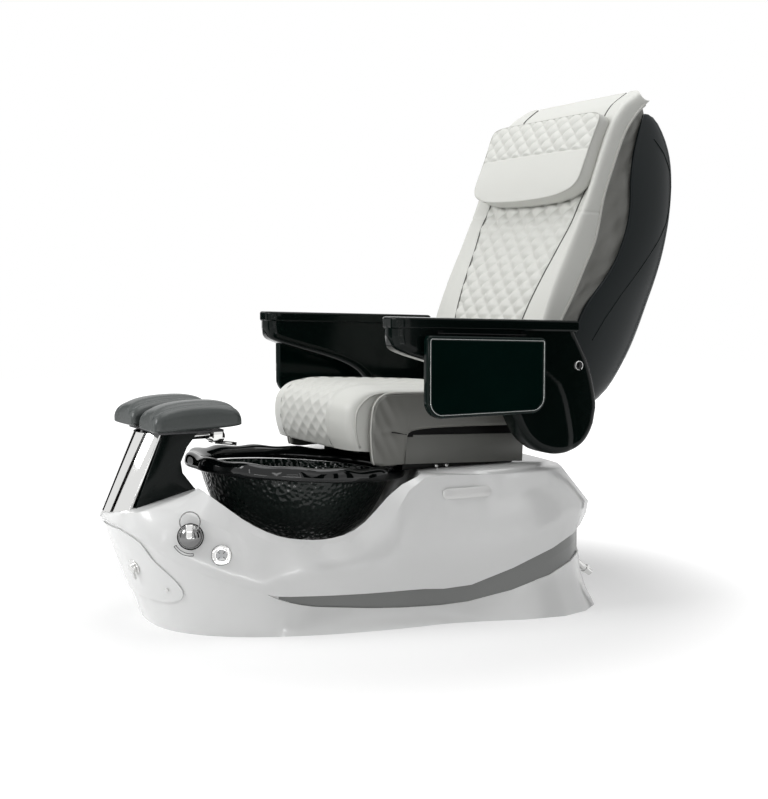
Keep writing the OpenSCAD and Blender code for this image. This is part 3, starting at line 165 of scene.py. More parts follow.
def mirror_card(name, azimuth, distance, wide, low, high, glow=0.0):
    bm = bmesh.new()
    bmesh.ops.create_grid(bm, x_segments=1, y_segments=1, size=0.5)
    bmesh.ops.scale(bm, vec=(wide, high - low, 1), verts=bm.verts)
    bmesh.ops.rotate(bm, matrix=Matrix.Rotation(math.pi / 2, 3, "X"), verts=bm.verts)
    a = math.radians(azimuth)
    bmesh.ops.rotate(bm, matrix=Matrix.Rotation(a + math.pi / 2, 3, "Z"), verts=bm.verts)
    bmesh.ops.translate(bm, vec=(math.cos(a) * distance, math.sin(a) * distance + CARD_ROOM_Y,
                                 (low + high) / 2), verts=bm.verts)
    me = mesh_of(bm, name)
    m = bpy.data.materials.new(name + "_paint")
    m.use_nodes = True
    shader = m.node_tree.nodes["Principled BSDF"]
    shader.inputs["Base Color"].default_value = (0.006, 0.006, 0.005, 1)
    shader.inputs["Specular IOR Level"].default_value = 0
    shader.inputs["Emission Color"].default_value = (1, 1, 1, 1)
    shader.inputs["Emission Strength"].default_value = glow
    me.materials.append(m)
    card = placed(name, me)
    card.visible_camera = card.visible_diffuse = card.visible_shadow = card.visible_transmission = False

# A flag is an azimuth and a width; a strip is an azimuth, distance, width, low, high and glow.
FLAGS = [[38, 0.9], [2, 0.35], [-112, 0.5], [-160, 0.7], [95, 0.5]]
STRIPS = [[-28, 1.7, 1.3, 0.13, 0.19, 12], [-28, 1.9, 1.0, 0.62, 0.66, 8], [-56, 2.6, 0.10, 0.3, 1.7, 5],
          [-8, 2.6, 0.05, 0.3, 1.5, 4]]
for n, (azimuth, wide) in enumerate(FLAGS):
    mirror_card(f"studio_flag_{n + 1}", azimuth, FLAG_FAR, wide, FLAG_LOW, FLAG_HIGH)
for n, (azimuth, distance, wide, low, high, glow) in enumerate(STRIPS):
    mirror_card(f"studio_strip_{n + 1}", azimuth, distance, wide, low, high, glow)
print("cards", len(FLAGS), len(STRIPS))

# %% [markdown]
# The floor is one big pale sheet. To the camera it is mostly white of its own, with a share of
# real shading left in round the chair, so it keeps its soft shadow. Further out it is all white.

# %% Floor
def make_floor():
    bm = bmesh.new()
    bmesh.ops.create_grid(bm, x_segments=4, y_segments=4, size=9)
    me = mesh_of(bm, "studio_floor")
    floor = placed("studio_floor", me)
    m = bpy.data.materials.new("floor_paper")
    m.use_nodes = True
    t = m.node_tree
    t.nodes.clear()
    out = t.nodes.new("ShaderNodeOutputMaterial")
    diffuse, glow = t.nodes.new("ShaderNodeBsdfDiffuse"), t.nodes.new("ShaderNodeEmission")
    mix, path = t.nodes.new("ShaderNodeMixShader"), t.nodes.new("ShaderNodeLightPath")
    high, share = math_node(t, "MAXIMUM"), math_node(t, "MULTIPLY")
    where, far = t.nodes.new("ShaderNodeTexCoord"), t.nodes.new("ShaderNodeVectorMath")
    fade = t.nodes.new("ShaderNodeMapRange")
    far.operation = "LENGTH"
    fade.interpolation_type = "SMOOTHSTEP"
    fade.inputs["From Min"].default_value, fade.inputs["From Max"].default_value = 0.75, 1.45
    fade.inputs["To Min"].default_value, fade.inputs["To Max"].default_value = 0.3, 1
    diffuse.inputs["Color"].default_value = (0.9, 0.9, 0.9, 1)
    glow.inputs["Color"].default_value = (1, 1, 1, 1)
    glow.inputs["Strength"].default_value = 1.3
    wire(t, ((where.outputs["Object"], far.inputs[0]),
             (far.outputs["Value"], fade.inputs["Value"]),
             (fade.outputs["Result"], share.inputs[1]),
             (path.outputs["Is Camera Ray"], high.inputs[0]),
             (path.outputs["Is Glossy Ray"], high.inputs[1]),
             (high.outputs[0], share.inputs[0]),
             (share.outputs[0], mix.inputs["Fac"]),
             (diffuse.outputs[0], mix.inputs[1]),
             (glow.outputs[0], mix.inputs[2]),
             (mix.outputs[0], out.inputs["Surface"])))
    me.materials.append(m)
    return floor

print("floor", make_floor().name)

# %% [markdown]
# Every finish is built from the same few nodes: a slow noise that varies the colour a little, a
# finer one that varies the gloss, and a grain that lifts the surface. What differs is the grain:
# leather has small cells, hammered glass has big soft dimples, brushed steel long scratches.

# %% Finishes
def grain_nodes(t, kind, scale):
    """The height pattern of a finish, read from Object coordinates."""
    place = t.nodes.new("ShaderNodeTexCoord")
    turn = t.nodes.new("ShaderNodeMapping")
    t.links.new(place.outputs["Object"], turn.inputs["Vector"])
    if kind == "brushed":
        turn.inputs["Scale"].default_value = (1, 0.03, 1)
    if kind in ("leather", "hammered"):
        g = t.nodes.new("ShaderNodeTexVoronoi")
        g.feature = "SMOOTH_F1" if kind == "hammered" else "F1"
        g.inputs["Scale"].default_value = scale
        if kind == "hammered":
            g.inputs["Smoothness"].default_value = 0.55
        height = g.outputs["Distance"]
    else:
        g = t.nodes.new("ShaderNodeTexNoise")
        g.inputs["Scale"].default_value = scale
        g.inputs["Detail"].default_value = 3
        height = g.outputs["Fac"]
    t.links.new(turn.outputs["Vector"], g.inputs["Vector"])
    return height

def finish(name, colour, rough, metal=0.0, coat=0.0, ior=1.5, kind="peel", scale=60.0, lift=0.0,
           depth=0.0004, vary=0.06, patch=7.0, rough_vary=0.06):
    m = bpy.data.materials.new(name)
    m.use_nodes = True
    t = m.node_tree
    shader = t.nodes["Principled BSDF"]
    shader.inputs["Metallic"].default_value = metal
    shader.inputs["Coat Weight"].default_value = coat
    shader.inputs["Coat Roughness"].default_value = 0.05
    shader.inputs["IOR"].default_value = ior
    cloud = t.nodes.new("ShaderNodeTexNoise")
    cloud.inputs["Scale"].default_value = patch
    cloud.inputs["Detail"].default_value = 4
    where = t.nodes.new("ShaderNodeTexCoord")
    t.links.new(where.outputs["Object"], cloud.inputs["Vector"])
    tint = t.nodes.new("ShaderNodeMix")
    tint.data_type = "RGBA"
    tint.inputs["A"].default_value = (*[c * (1 - vary) for c in colour], 1)
    tint.inputs["B"].default_value = (*[min(1, c * (1 + vary)) for c in colour], 1)
    t.links.new(cloud.outputs["Fac"], tint.inputs["Factor"])
    t.links.new(tint.outputs["Result"], shader.inputs["Base Color"])
    span = t.nodes.new("ShaderNodeMapRange")
    span.inputs["To Min"].default_value = max(0.02, rough - rough_vary)
    span.inputs["To Max"].default_value = min(1, rough + rough_vary)
    height = grain_nodes(t, kind, scale)
    t.links.new(height, span.inputs["Value"])
    t.links.new(span.outputs["Result"], shader.inputs["Roughness"])
    if lift:
        bump = t.nodes.new("ShaderNodeBump")
        bump.inputs["Strength"].default_value = lift
        bump.inputs["Distance"].default_value = depth
        t.links.new(height, bump.inputs["Height"])
        t.links.new(bump.outputs["Normal"], shader.inputs["Normal"])
    return m

FINISH = {
    "hull_white": finish("hull_gelcoat", (0.83, 0.835, 0.83), 0.2, coat=0.25, scale=45, lift=0.05,
                         vary=0.012),
    "band_grey": finish("band_satin_grey", (0.22, 0.225, 0.22), 0.3, scale=300, lift=0.08, vary=0.04),
    "glass_black": finish("bowl_hammered_glass", (0.004, 0.009, 0.007), 0.13, ior=1.42, kind="hammered",
                          scale=80, lift=0.9, depth=0.005, vary=0.3, rough_vary=0.03),
    "rim_black": finish("rim_glass", (0.002, 0.003, 0.003), 0.05, ior=1.45, scale=30, lift=0.08,
                        depth=0.001, vary=0.2, rough_vary=0.02),
    "chrome": finish("polished_chrome", (0.74, 0.74, 0.73), 0.06, metal=1, scale=25, lift=0.03,
                     vary=0.02, rough_vary=0.03),
    "steel_frame": finish("powder_coat", (0.045, 0.046, 0.05), 0.45, scale=500, lift=0.2, vary=0.1),
    "steel_bright": finish("ground_steel", (0.52, 0.53, 0.54), 0.28, metal=1, kind="brushed",
                           scale=240, lift=0.12, vary=0.05),
    "gloss_black": finish("arm_gloss_black", (0.002, 0.005, 0.0042), 0.14, ior=1.24, scale=50,
                          lift=0.03, vary=0.25, rough_vary=0.04),
    "shell_black": finish("shell_satin_black", (0.004, 0.008, 0.009), 0.36, ior=1.32, scale=600,
                          lift=0.1, vary=0.15),
    "plinth_black": finish("plinth_black", (0.007, 0.008, 0.007), 0.4, ior=1.3, scale=400, lift=0.15,
                           vary=0.1),
    "leather_white": finish("leather_pale", (0.66, 0.665, 0.63), 0.42, kind="leather", scale=650,
                            lift=0.16, depth=0.0005, vary=0.03, patch=5, ior=1.45),
    "leather_grey": finish("leather_grey", (0.2, 0.2, 0.184), 0.42, kind="leather", scale=650,
                           lift=0.2, depth=0.0005, vary=0.07, patch=9),
    "gusset_grey": finish("gusset_cloth", (0.2, 0.2, 0.186), 0.55, kind="leather", scale=900,
                          lift=0.25, depth=0.0006, vary=0.08, patch=14),
    "vinyl_dark": finish("pad_vinyl", (0.05, 0.058, 0.056), 0.3, kind="leather", scale=750,
                         lift=0.16, depth=0.0005, vary=0.12, patch=10),
    "skirt_grey": finish("cover_satin_grey", (0.18, 0.182, 0.168), 0.36, scale=400, lift=0.12, vary=0.05),
    "rubber_black": finish("rubber", (0.015, 0.015, 0.015), 0.65, scale=350, lift=0.25, vary=0.15),
    "pump_white": finish("moulded_white", (0.75, 0.75, 0.74), 0.4, scale=250, lift=0.1, vary=0.03),
    "pump_grey": finish("moulded_grey", (0.06, 0.065, 0.07), 0.42, scale=300, lift=0.15, vary=0.08),
    "brass": finish("cast_brass", (0.6, 0.42, 0.16), 0.3, metal=1, scale=200, lift=0.2, vary=0.08),
    "badge_white": finish("badge_gloss", (0.84, 0.84, 0.83), 0.12, coat=0.5, scale=60, lift=0.03, vary=0.02),
    "button_white": finish("button_gloss", (0.62, 0.63, 0.64), 0.16, coat=0.4, scale=90, lift=0.04,
                           vary=0.03),
}
# Painted shade: the middle seam piping is made dark to stand for the shade in the seam's groove.
SEAM_PIPING_SHADE = finish("seam_piping_painted_shade", (0.085, 0.085, 0.08), 0.4, kind="leather", scale=1200, lift=0.15, vary=0.1)
PIPING_PALE = finish("piping_pale", (0.52, 0.52, 0.49), 0.4, kind="leather", scale=1200, lift=0.15,
                     vary=0.06)
# Painted shade: a black finish for the slot between the seat panel and the skirt, where shade falls in the
# gap.
SLOT_PAINTED_SHADE = finish("slot_painted_shade", (0.004, 0.004, 0.004), 0.3, ior=1.25, scale=200, lift=0.05, vary=0.2)
TRAY_GLASS = finish("tray_inset_gloss", (0.0012, 0.0075, 0.006), 0.07, ior=1.2, scale=20, lift=0.02,
                    vary=0.3, rough_vary=0.02)
# Painted highlight: a bright metal bead drawn where the trays' inset rims catch the light.
BEAD_PAINTED_HIGHLIGHT = finish("bead_painted_highlight", (0.42, 0.44, 0.43), 0.22, metal=1, scale=90, lift=0.03, vary=0.05)
SMOKED = finish("smoked_chrome", (0.2, 0.2, 0.2), 0.1, metal=1, scale=40, lift=0.02, vary=0.05,
                rough_vary=0.03)
PIVOT_BLACK = finish("pivot_cap_black", (0.003, 0.004, 0.004), 0.2, ior=1.3, scale=120, lift=0.04, vary=0.2)
print("finishes", len(bpy.data.materials))

# %% [markdown]
# The hard pieces keep their CAD shape. A copy of the node has its loose triangles merged, flat
# faces joined again, sharp edges rounded by a small bevel and the rest shaded smooth. The copy
# then stands for the node. A hidden node keeps its own mesh and only gets its finish.

# %% Hard pieces from their CAD nodes
SLOT_OF = {s["node"]: s["material_slot"] for s in frame["record"]["subparts"]}

def link_piece(name, me, body, material, replaces=()):
    o = placed(name, me)
    paint_with(me, material)
    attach(o, body)
    if replaces:
        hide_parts(*replaces)
    return o

FLAT = 0.4

def merged_copy(node, quads):
    bm = bmesh.new()
    bm.from_mesh(NODES[node].data)
    bmesh.ops.remove_doubles(bm, verts=bm.verts, dist=0.00002)
    if quads:
        bmesh.ops.join_triangles(bm, faces=bm.faces, angle_face_threshold=math.radians(40),
                                 angle_shape_threshold=math.radians(60))
    else:
        bmesh.ops.dissolve_limit(bm, angle_limit=math.radians(FLAT), verts=bm.verts, edges=bm.edges,
                                 use_dissolve_boundaries=False)
    return bm

def smooth_mesh(bm, name, angle=35):
    me = mesh_of(bm, name)
    me.polygons.foreach_set("use_smooth", [True] * len(me.polygons))
    me.set_sharp_from_angle(angle=math.radians(angle))
    return me

def made_piece(name, bm, angle, body, material, replaces=()):
    return link_piece(name, smooth_mesh(bm, name, angle), body, material, replaces)

def dress(node, edge=0.0, segments=2, quads=False, sharp=35, subdivide=0):
    """A finished copy of one CAD node, with its edges rounded by edge metres."""
    bm = merged_copy(node, quads)
    if edge:
        ridges = [e for e in bm.edges if len(e.link_faces) == 2
                  and e.calc_face_angle(0) > math.radians(sharp)]
        bmesh.ops.bevel(bm, geom=ridges, offset=edge, offset_type="OFFSET", affect="EDGES",
                        segments=segments, profile=0.5, material=-1, clamp_overlap=True)
    o = made_piece(node + "_made", bm, 50 if edge else sharp, NODES[node]["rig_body"],
                   FINISH[SLOT_OF[node]], (node,))
    if subdivide:
        mod = o.modifiers.new("smooth", "SUBSURF")
        mod.levels = mod.render_levels = subdivide

for node in NODES:
    paint_with(NODES[node].data, FINISH[SLOT_OF[node]])
print("painted", len(NODES))

# %% [markdown]
# The hull is three mouldings. They are large smooth surfaces, so the mesh is joined back into
# four-sided faces and shaded smooth, with only the real lips kept sharp.

# %% Hull
for node in ("base_skirt", "upper_shell", "trim_band", "access_panel"):
    dress(node, quads=True, sharp=38)
dress("badge_plate", edge=0.0008)
print("hull done")

# %% [markdown]
# The bath is hammered glass with a thick scalloped rim. Both are turned shapes, so smooth shading
# is enough and the dimples come from the material.

# %% Bath
dress("bowl", sharp=40)
dress("bowl_rim", quads=True, sharp=60, subdivide=1)
dress("drain_body", edge=0.0006)
dress("drain_stopper", edge=0.0006)
dress("jet_guard", edge=0.0006)
dress("faucet", edge=0.0015, segments=3)
print("bath done")

# %% [markdown]
# Small controls and fittings are turned or machined, so each gets a fine bevel that catches light.

# %% Controls, fittings and the footrest column
for node in ("mixer_knob", "mixer_escutcheon", "air_button", "button_bezel", "drain_lever",
             "lever_escutcheon", "supply_fittings", "plinth_bolts"):
    dress(node, edge=0.0009, segments=3, sharp=30)
dress("footrest_column", edge=0.0012, segments=3)
dress("footrest_housing", edge=0.004, segments=3, sharp=25)
dress("footrest_bracket", edge=0.001)
dress("footrest_post", edge=0.0015)
dress("seat_plinth", edge=0.003, segments=3)
dress("seat_rails", edge=0.0008)
print("controls done")

# %% [markdown]
# The mixer knob is a smoked chrome dome with a wedge lever on it. Both are set on the knob's own
# axis, and stand on the foot of its CAD node.

# %% Mixer knob
MIXER_AT = Vector((0.225438, -0.615191, 0.260707))
MIXER_AXIS = Vector((0.882285, -0.438595, 0.170901)).normalized()
DOME_R, DOME_FLAT, DOME_UP = 0.029, 0.72, 0.008
WEDGE_SIZE, WEDGE_ROUND = (0.013, 0.036, 0.012), 0.0028
reach = [(v.co - MIXER_AT).dot(MIXER_AXIS) for v in NODES["mixer_knob"].data.vertices]
UP_HULL = (Vector((0, 0, 1)) - MIXER_AXIS * MIXER_AXIS.z).normalized()
SIDE_HULL = MIXER_AXIS.cross(UP_HULL)
MIXER_FOOT = min(reach)

def on_knob(side, up, out):
    return MIXER_AT + SIDE_HULL * side + UP_HULL * up + MIXER_AXIS * (MIXER_FOOT + out)

def ring_points(centre_up, radius, out, start=0.0, end=360.0, count=48):
    turns = [math.radians(a) for a in np.linspace(start, end, count, endpoint=end - start < 360)]
    return [on_knob(radius * math.cos(t), centre_up + radius * math.sin(t), out) for t in turns]

bm = bmesh.new()
bmesh.ops.create_uvsphere(bm, u_segments=40, v_segments=24, radius=DOME_R)
bmesh.ops.scale(bm, vec=(1, 1, DOME_FLAT), verts=bm.verts)
turn = Matrix((SIDE_HULL, UP_HULL, MIXER_AXIS)).transposed()
bmesh.ops.rotate(bm, matrix=turn, verts=bm.verts)
bmesh.ops.translate(bm, vec=on_knob(0, 0, DOME_UP), verts=bm.verts)
made_piece("mixer_dome", bm, 80, "mixer_knob", SMOKED)
bm = bmesh.new()
bmesh.ops.create_cube(bm, size=1)
bmesh.ops.scale(bm, vec=WEDGE_SIZE, verts=bm.verts)
tip = [v for v in bm.verts if v.co.y > 0]
bmesh.ops.scale(bm, vec=(1.5, 1, 0.7), verts=tip)
bmesh.ops.bevel(bm, geom=bm.edges[:], offset=WEDGE_ROUND, offset_type="OFFSET", affect="EDGES", segments=3,
                profile=0.5, material=-1, clamp_overlap=True)
bmesh.ops.rotate(bm, matrix=turn, verts=bm.verts)
bmesh.ops.translate(bm, vec=on_knob(0, 0.012, 0.029), verts=bm.verts)
made_piece("mixer_wedge", bm, 50, "mixer_knob", FINISH["chrome"])
print("mixer knob reaches", round(max(reach) - MIXER_FOOT, 4))

# %% [markdown]
# The moulded shell behind the back is one large smooth surface, so its loose triangles become
# four-sided faces again and one level of subdivision takes out the facets.

# %% Back shell
dress("back_shell", quads=True, sharp=50, subdivide=1)
print("shell done")

# %% [markdown]
# Padded pieces start from one idea. A flat grid is pulled to a second layer behind it, and then
# every point of both layers is moved to its place by a rule for this cushion. Quilting and seams
# are small lifts along the surface's own normals, so they bend round every roll of the leather.

# %% Padded slab
MM = 0.001

def curve(rows, v, c=1):
    """A smooth curve through rows of [key, value, ...]."""
    i = 0
    while i < len(rows) - 2 and v >= rows[i + 1][0]:
        i += 1
    def slope(n):
        a, b = max(n - 1, 0), min(n + 1, len(rows) - 1)
        return (rows[b][c] - rows[a][c]) / (rows[b][0] - rows[a][0])
    h = rows[i + 1][0] - rows[i][0]
    k = min(max((v - rows[i][0]) / h, 0), 1)
    return ((2 * k**3 - 3 * k**2 + 1) * rows[i][c] + (k**3 - 2 * k**2 + k) * h * slope(i)
            + (3 * k**2 - 2 * k**3) * rows[i + 1][c] + (k**3 - k**2) * h * slope(i + 1))

def mix(a, b, k):
    return a + (b - a) * k

def ease(a, b, v):
    k = min(max((v - a) / (b - a), 0), 1)
    return k * k * (3 - 2 * k)

def signed_pow(v, p):
    return math.copysign(abs(v) ** p, v)

def padded_slab(cols, rows, front, back, lift=None):
    """front and back take (u, v) from 0 to 1 and give a point; lift gives a height off the front."""
    bm = bmesh.new()
    bmesh.ops.create_grid(bm, x_segments=cols, y_segments=rows, size=0.5)
    made = bmesh.ops.extrude_face_region(bm, geom=bm.faces[:], use_keep_orig=True)
    far = {g for g in made["geom"] if isinstance(g, bmesh.types.BMVert)}
    near = [v for v in bm.verts if v not in far]
    place = {v: (min(max(v.co.x + 0.5, 0), 1), min(max(v.co.y + 0.5, 0), 1)) for v in bm.verts}
    for v in near:
        v.co = front(*place[v])
    for v in far:
        v.co = back(*place[v])
    bmesh.ops.recalc_face_normals(bm, faces=bm.faces)
    if lift:
        bm.normal_update()
        away = [(v, v.normal.copy(), lift(*place[v], v.co)) for v in near]
        for v, n, h in away:
            v.co += n * h
    return bm

def soft_piece(name, bm, body, node):
    o = made_piece(name, bm, 60, body, FINISH[SLOT_OF[node]], (node,))
    return o

def tube(name, paths, radius, body, material, closed=False):
    """Round piping along one or more lines of points."""
    cu = bpy.data.curves.new(name, "CURVE")
    cu.dimensions, cu.bevel_depth, cu.bevel_resolution, cu.use_fill_caps = "3D", radius, 2, True
    for points in paths:
        s = cu.splines.new("POLY")
        s.points.add(len(points) - 1)
        for p, co in zip(s.points, points):
            p.co = (*co, 1)
        s.use_cyclic_u = closed
    holder = bpy.data.objects.new(name + "_line", cu)
    bpy.context.scene.collection.objects.link(holder)
    bpy.context.view_layer.update()
    me = bpy.data.meshes.new_from_object(holder.evaluated_get(bpy.context.evaluated_depsgraph_get()))
    bpy.data.objects.remove(holder)
    bm = bmesh.new()
    bm.from_mesh(me)
    bmesh.ops.remove_doubles(bm, verts=bm.verts, dist=0.00001)
    bmesh.ops.recalc_face_normals(bm, faces=bm.faces)
    bm.to_mesh(me)
    bm.free()
    me.polygons.foreach_set("use_smooth", [True] * len(me.polygons))
    return link_piece(name, me, body, material)

def diamonds(a, b, wide, tall, high):
    """Height of quilting at a across and b along: puffed diamonds between two sets of sewn lines."""
    s, t = a / wide + b / tall, a / wide - b / tall
    ds, dt = abs(s - round(s)), abs(t - round(t))
    p = (math.sin(math.pi * min(ds, 0.5)) * math.sin(math.pi * min(dt, 0.5))) ** 0.55
    return high * (p - 0.42)

def groove(d, wide, deep):
    return -deep * math.exp(-(d / wide) ** 2)

def along(rows, count, key=1, other=2):
    """Distance along a side-view line, as rows of [key, distance]."""
    out, total, last = [], 0.0, None
    for n in range(count + 1):
        v = rows[0][0] + (rows[-1][0] - rows[0][0]) * n / count
        p = (curve(rows, v, key), curve(rows, v, other) if other else v)
        total += 0 if last is None else math.dist(p, last)
        out.append([v, total])
        last = p
    return out

# %% [markdown]
# Fine lines finish the controls: the knob's round grip, the crescent printed below it, and the
# ring and four marks of the air button. The printed ones are found on the hull's own surface.

# %% Lines of the controls
hull_bm = bmesh.new()
hull_bm.from_mesh(NODES["upper_shell"].data)
hull_tree = BVHTree.FromBMesh(hull_bm)

def on_hull(p, axis, lift=0.0004):
    hit = hull_tree.ray_cast(p + axis * 0.06, -axis)[0]
    return (hit if hit else p) + axis * lift

tube("mixer_grip", [ring_points(0.036, 0.025, 0.02)], 0.0015, "mixer_knob", SMOKED, closed=True)
crescent = ring_points(0, 0.048, 0, 262, 330, 24) + ring_points(0, 0.042, 0, 262, 330, 24)[::-1]
tube("mixer_crescent", [[on_hull(p, MIXER_AXIS) for p in crescent]], 0.0007, "base",
     PIVOT_BLACK, closed=True)
# Painted shade: a black ring at the foot of the dome stands for the shade under it.
tube("mixer_foot_shade_ring", [ring_points(0, 0.0315, 0.006)], 0.0016, "mixer_knob", PIVOT_BLACK,
     closed=True)
button = [v.co for v in NODES["air_button"].data.vertices]
button_at = sum(button, Vector()) / len(button)
BUTTON_AXIS = hull_tree.find_nearest(button_at + MIXER_AXIS * 0.02)[1]
BUTTON_AXIS = BUTTON_AXIS if BUTTON_AXIS.x > 0 else -BUTTON_AXIS
button_up = (Vector((0, 0, 1)) - BUTTON_AXIS * BUTTON_AXIS.z).normalized()
button_side = BUTTON_AXIS.cross(button_up)
button_face = max((p - button_at).dot(BUTTON_AXIS) for p in button)

def on_button(side, up, out):
    return button_at + button_side * side + button_up * up + BUTTON_AXIS * out

def button_ring(radius, count=40):
    turns = [2 * math.pi * n / count for n in range(count)]
    return [on_button(radius * math.cos(t), radius * math.sin(t), 0) for t in turns]

marks = [[on_button(r * math.cos(t), r * math.sin(t), button_face + 0.0002) for r in (0.006, 0.0115)]
         for t in (math.radians(a) for a in (45, 135, 225, 315))]
tube("button_marks", marks, 0.0011, "air_button", SMOKED)
bezel = max((v.co - button_at).cross(BUTTON_AXIS).length for v in NODES["button_bezel"].data.vertices)
tube("button_outline", [[on_hull(p, BUTTON_AXIS) for p in button_ring(bezel + 0.0006)]], 0.0004, "base",
     SMOKED, closed=True)
hull_bm.free()
print("control lines, bezel", round(bezel, 4))

# %% [markdown]
# Arms, trays and seat panels are drawn in side view between a low and a high line. Their thickness
# falls off in a quarter circle near the border, so each has a round moulded edge.

# %% Moulded slabs
def edge_distance(border):
    """A function that gives the distance from (a, b) to a line of points."""
    lines = [(Vector(p), Vector(q) - Vector(p)) for p, q in zip(border, border[1:])]
    def away(a, b):
        here, best = Vector((a, b)), 1e9
        for p, d in lines:
            k = min(max((here - p).dot(d) / max(d.dot(d), 1e-9), 0), 1)
            best = min(best, (here - p - d * k).length_squared)
        return math.sqrt(best)
    return away

def moulded(ends, low, high, away, half, radius, place, cols, rows, dent=None):
    """A slab between the lines low(a) and high(a), half(a) thick each way, with rounded borders."""
    def at(u, v, face):
        a = mix(ends[0], ends[1], 0.5 - 0.5 * math.cos(math.pi * u))
        b = mix(low(a), high(a), 0.5 - 0.5 * math.cos(math.pi * v))
        r = min(radius(a), half(a) - 0.5)
        d = min(away(a, b), r)
        t = half(a) - r + math.sqrt(max(0, r * r - (r - d) ** 2))
        if dent and face > 0:
            t += dent(a, b)
        return place(a, b, face * t)
    return padded_slab(cols, rows, lambda u, v: at(u, v, 1), lambda u, v: at(u, v, -1))

print("moulded slabs ready")

# %% [markdown]
# Each arm is a moulded body under a slim plate. The body runs from a blunt nose back into the deep
# lobe round the pivot; it is drawn as a slab in side view with a wide round edge. The plate is the
# same kind of slab seen from above, with a finer edge.

# %% Arms
ARM_X, ARM_W, ARM_T, ARM_TOP, ARM_SLOPE = 385, 96, 30, 797, math.sin(math.radians(1.7))
ARM_NOSE, ARM_END = -150, 490
ARM_LOW = [[-150, 752], [-143, 728], [-120, 712], [-49, 689], [60, 658], [120, 636], [160, 613], [190, 582],
           [215, 540], [246, 484], [287, 447], [320, 433], [354, 426], [390, 427], [421, 436], [450, 453],
           [470, 478], [484, 510], [490, 545]]
ARM_REAR = [[406, 775], [414, 757], [440, 712], [462, 668], [478, 620], [487, 580], [490, 560]]
PLATE_END, PLATE_SINK, LOBE_THIN = 412, 12, 12

def plate_top(y):
    return ARM_TOP - ARM_SLOPE * y

def arm_low(y):
    return curve(ARM_LOW, y)

def arm_high(y):
    under = plate_top(y) - PLATE_SINK
    return under if y < ARM_REAR[0][0] else min(under, max(curve(ARM_REAR, y), arm_low(y) + LOBE_THIN))

ARM_BORDER = ([(ARM_NOSE, 790)] + [(y, arm_low(y)) for y in range(ARM_NOSE, ARM_END, 8)]
              + [(ARM_END, 545), (ARM_END, 560)] + [(y, arm_high(y)) for y in range(486, 404, -8)])
CREASE = edge_distance([(300, 690), (311, 665), (340, 643), (367, 621), (384, 585), (392, 560), (404, 510),
                        (410, 474), (408, 440)])
CREASE_DEEP, CREASE_WIDE = 2.4, 10

def nose(y, start, wide, power=2.6):
    s = min((y - start) / wide, 1)
    return (1 - (1 - max(s, 0)) ** power) ** (1 / power)

def arm_half(y):
    return mix(ARM_W / 2 - 3, 38, ease(140, 300, y)) * max(nose(y, ARM_NOSE - 2, 46), 0.2)

def arm_dent(y, z):
    return groove(CREASE(y, z), CREASE_WIDE, CREASE_DEEP)

def plate_half(y):
    return ARM_W / 2 * nose(y, ARM_NOSE - 1.5, 44)

PLATE_BORDER = ([(y, -plate_half(y)) for y in range(PLATE_END, ARM_NOSE, -4)]
                + [(ARM_NOSE, -plate_half(ARM_NOSE)), (ARM_NOSE, plate_half(ARM_NOSE))]
                + [(y, plate_half(y)) for y in range(ARM_NOSE + 2, PLATE_END + 1, 4)]
                + [(PLATE_END, -ARM_W / 2)])
arm_away, plate_away = edge_distance(ARM_BORDER), edge_distance(PLATE_BORDER)

for side, name in ((1, "left"), (-1, "right")):
    bm = moulded((ARM_NOSE, ARM_END), arm_low, arm_high, arm_away, arm_half,
                 lambda y: mix(24, 20, ease(0, 300, y)),
                 lambda y, z, t: Vector((side * (ARM_X + t), y, z)) * MM, 110, 72, arm_dent)
    made_piece("arm_body_" + name, bm, 50, "arm_" + name, FINISH["gloss_black"],
               ("arm_" + name,))
    bm = moulded((ARM_NOSE, PLATE_END), lambda y: -plate_half(y), plate_half, plate_away,
                 lambda y: ARM_T / 2, lambda y: 7,
                 lambda y, x, t: Vector((ARM_X * side + x, y, plate_top(y) - ARM_T / 2 + t)) * MM, 110, 40)
    made_piece("arm_plate_" + name, bm, 50, "arm_" + name, FINISH["gloss_black"])
print("arms", ARM_NOSE, ARM_END)

# %% [markdown]
# The pivot shows as a black cap in a thin bright ring, set in the side of each lobe.

# %% Arm pivots
PIVOT_Y, PIVOT_Z, PIVOT_R = 420, 664, 13
PIVOT_CAP = [(PIVOT_R - 2.2, 415), (PIVOT_R - 2.2, 425.2), (PIVOT_R - 3.4, 426)]
PIVOT_RING = [(PIVOT_R, 330), (PIVOT_R, 426.6), (PIVOT_R - 0.9, 427.8), (PIVOT_R - 1.8, 427.4),
              (PIVOT_R - 2.3, 425)]

def turned(rings, axis_at, side):
    """A closed turned piece about X: rings are (radius, distance out) from its middle to its rim."""
    bm = bmesh.new()
    start = bmesh.ops.create_circle(bm, cap_ends=False, segments=40, radius=1)["verts"]
    edges = list({e for v in start for e in v.link_edges})
    loops = []
    for n, (r, out) in enumerate(rings):
        if n:
            made = bmesh.ops.extrude_edge_only(bm, edges=edges)["geom"]
            start = [g for g in made if isinstance(g, bmesh.types.BMVert)]
            edges = [g for g in made if isinstance(g, bmesh.types.BMEdge)]
        loops.append(start)
        for v in start:
            a = math.atan2(v.co.z, v.co.y) if n else math.atan2(v.co.y, v.co.x)
            v.co = Vector((side * out, r * math.cos(a), r * math.sin(a)))
    bmesh.ops.contextual_create(bm, geom=loops[0])
    bmesh.ops.contextual_create(bm, geom=loops[-1])
    bmesh.ops.recalc_face_normals(bm, faces=bm.faces)
    bmesh.ops.translate(bm, vec=axis_at, verts=bm.verts)
    bmesh.ops.scale(bm, vec=(MM, MM, MM), verts=bm.verts)
    return bm

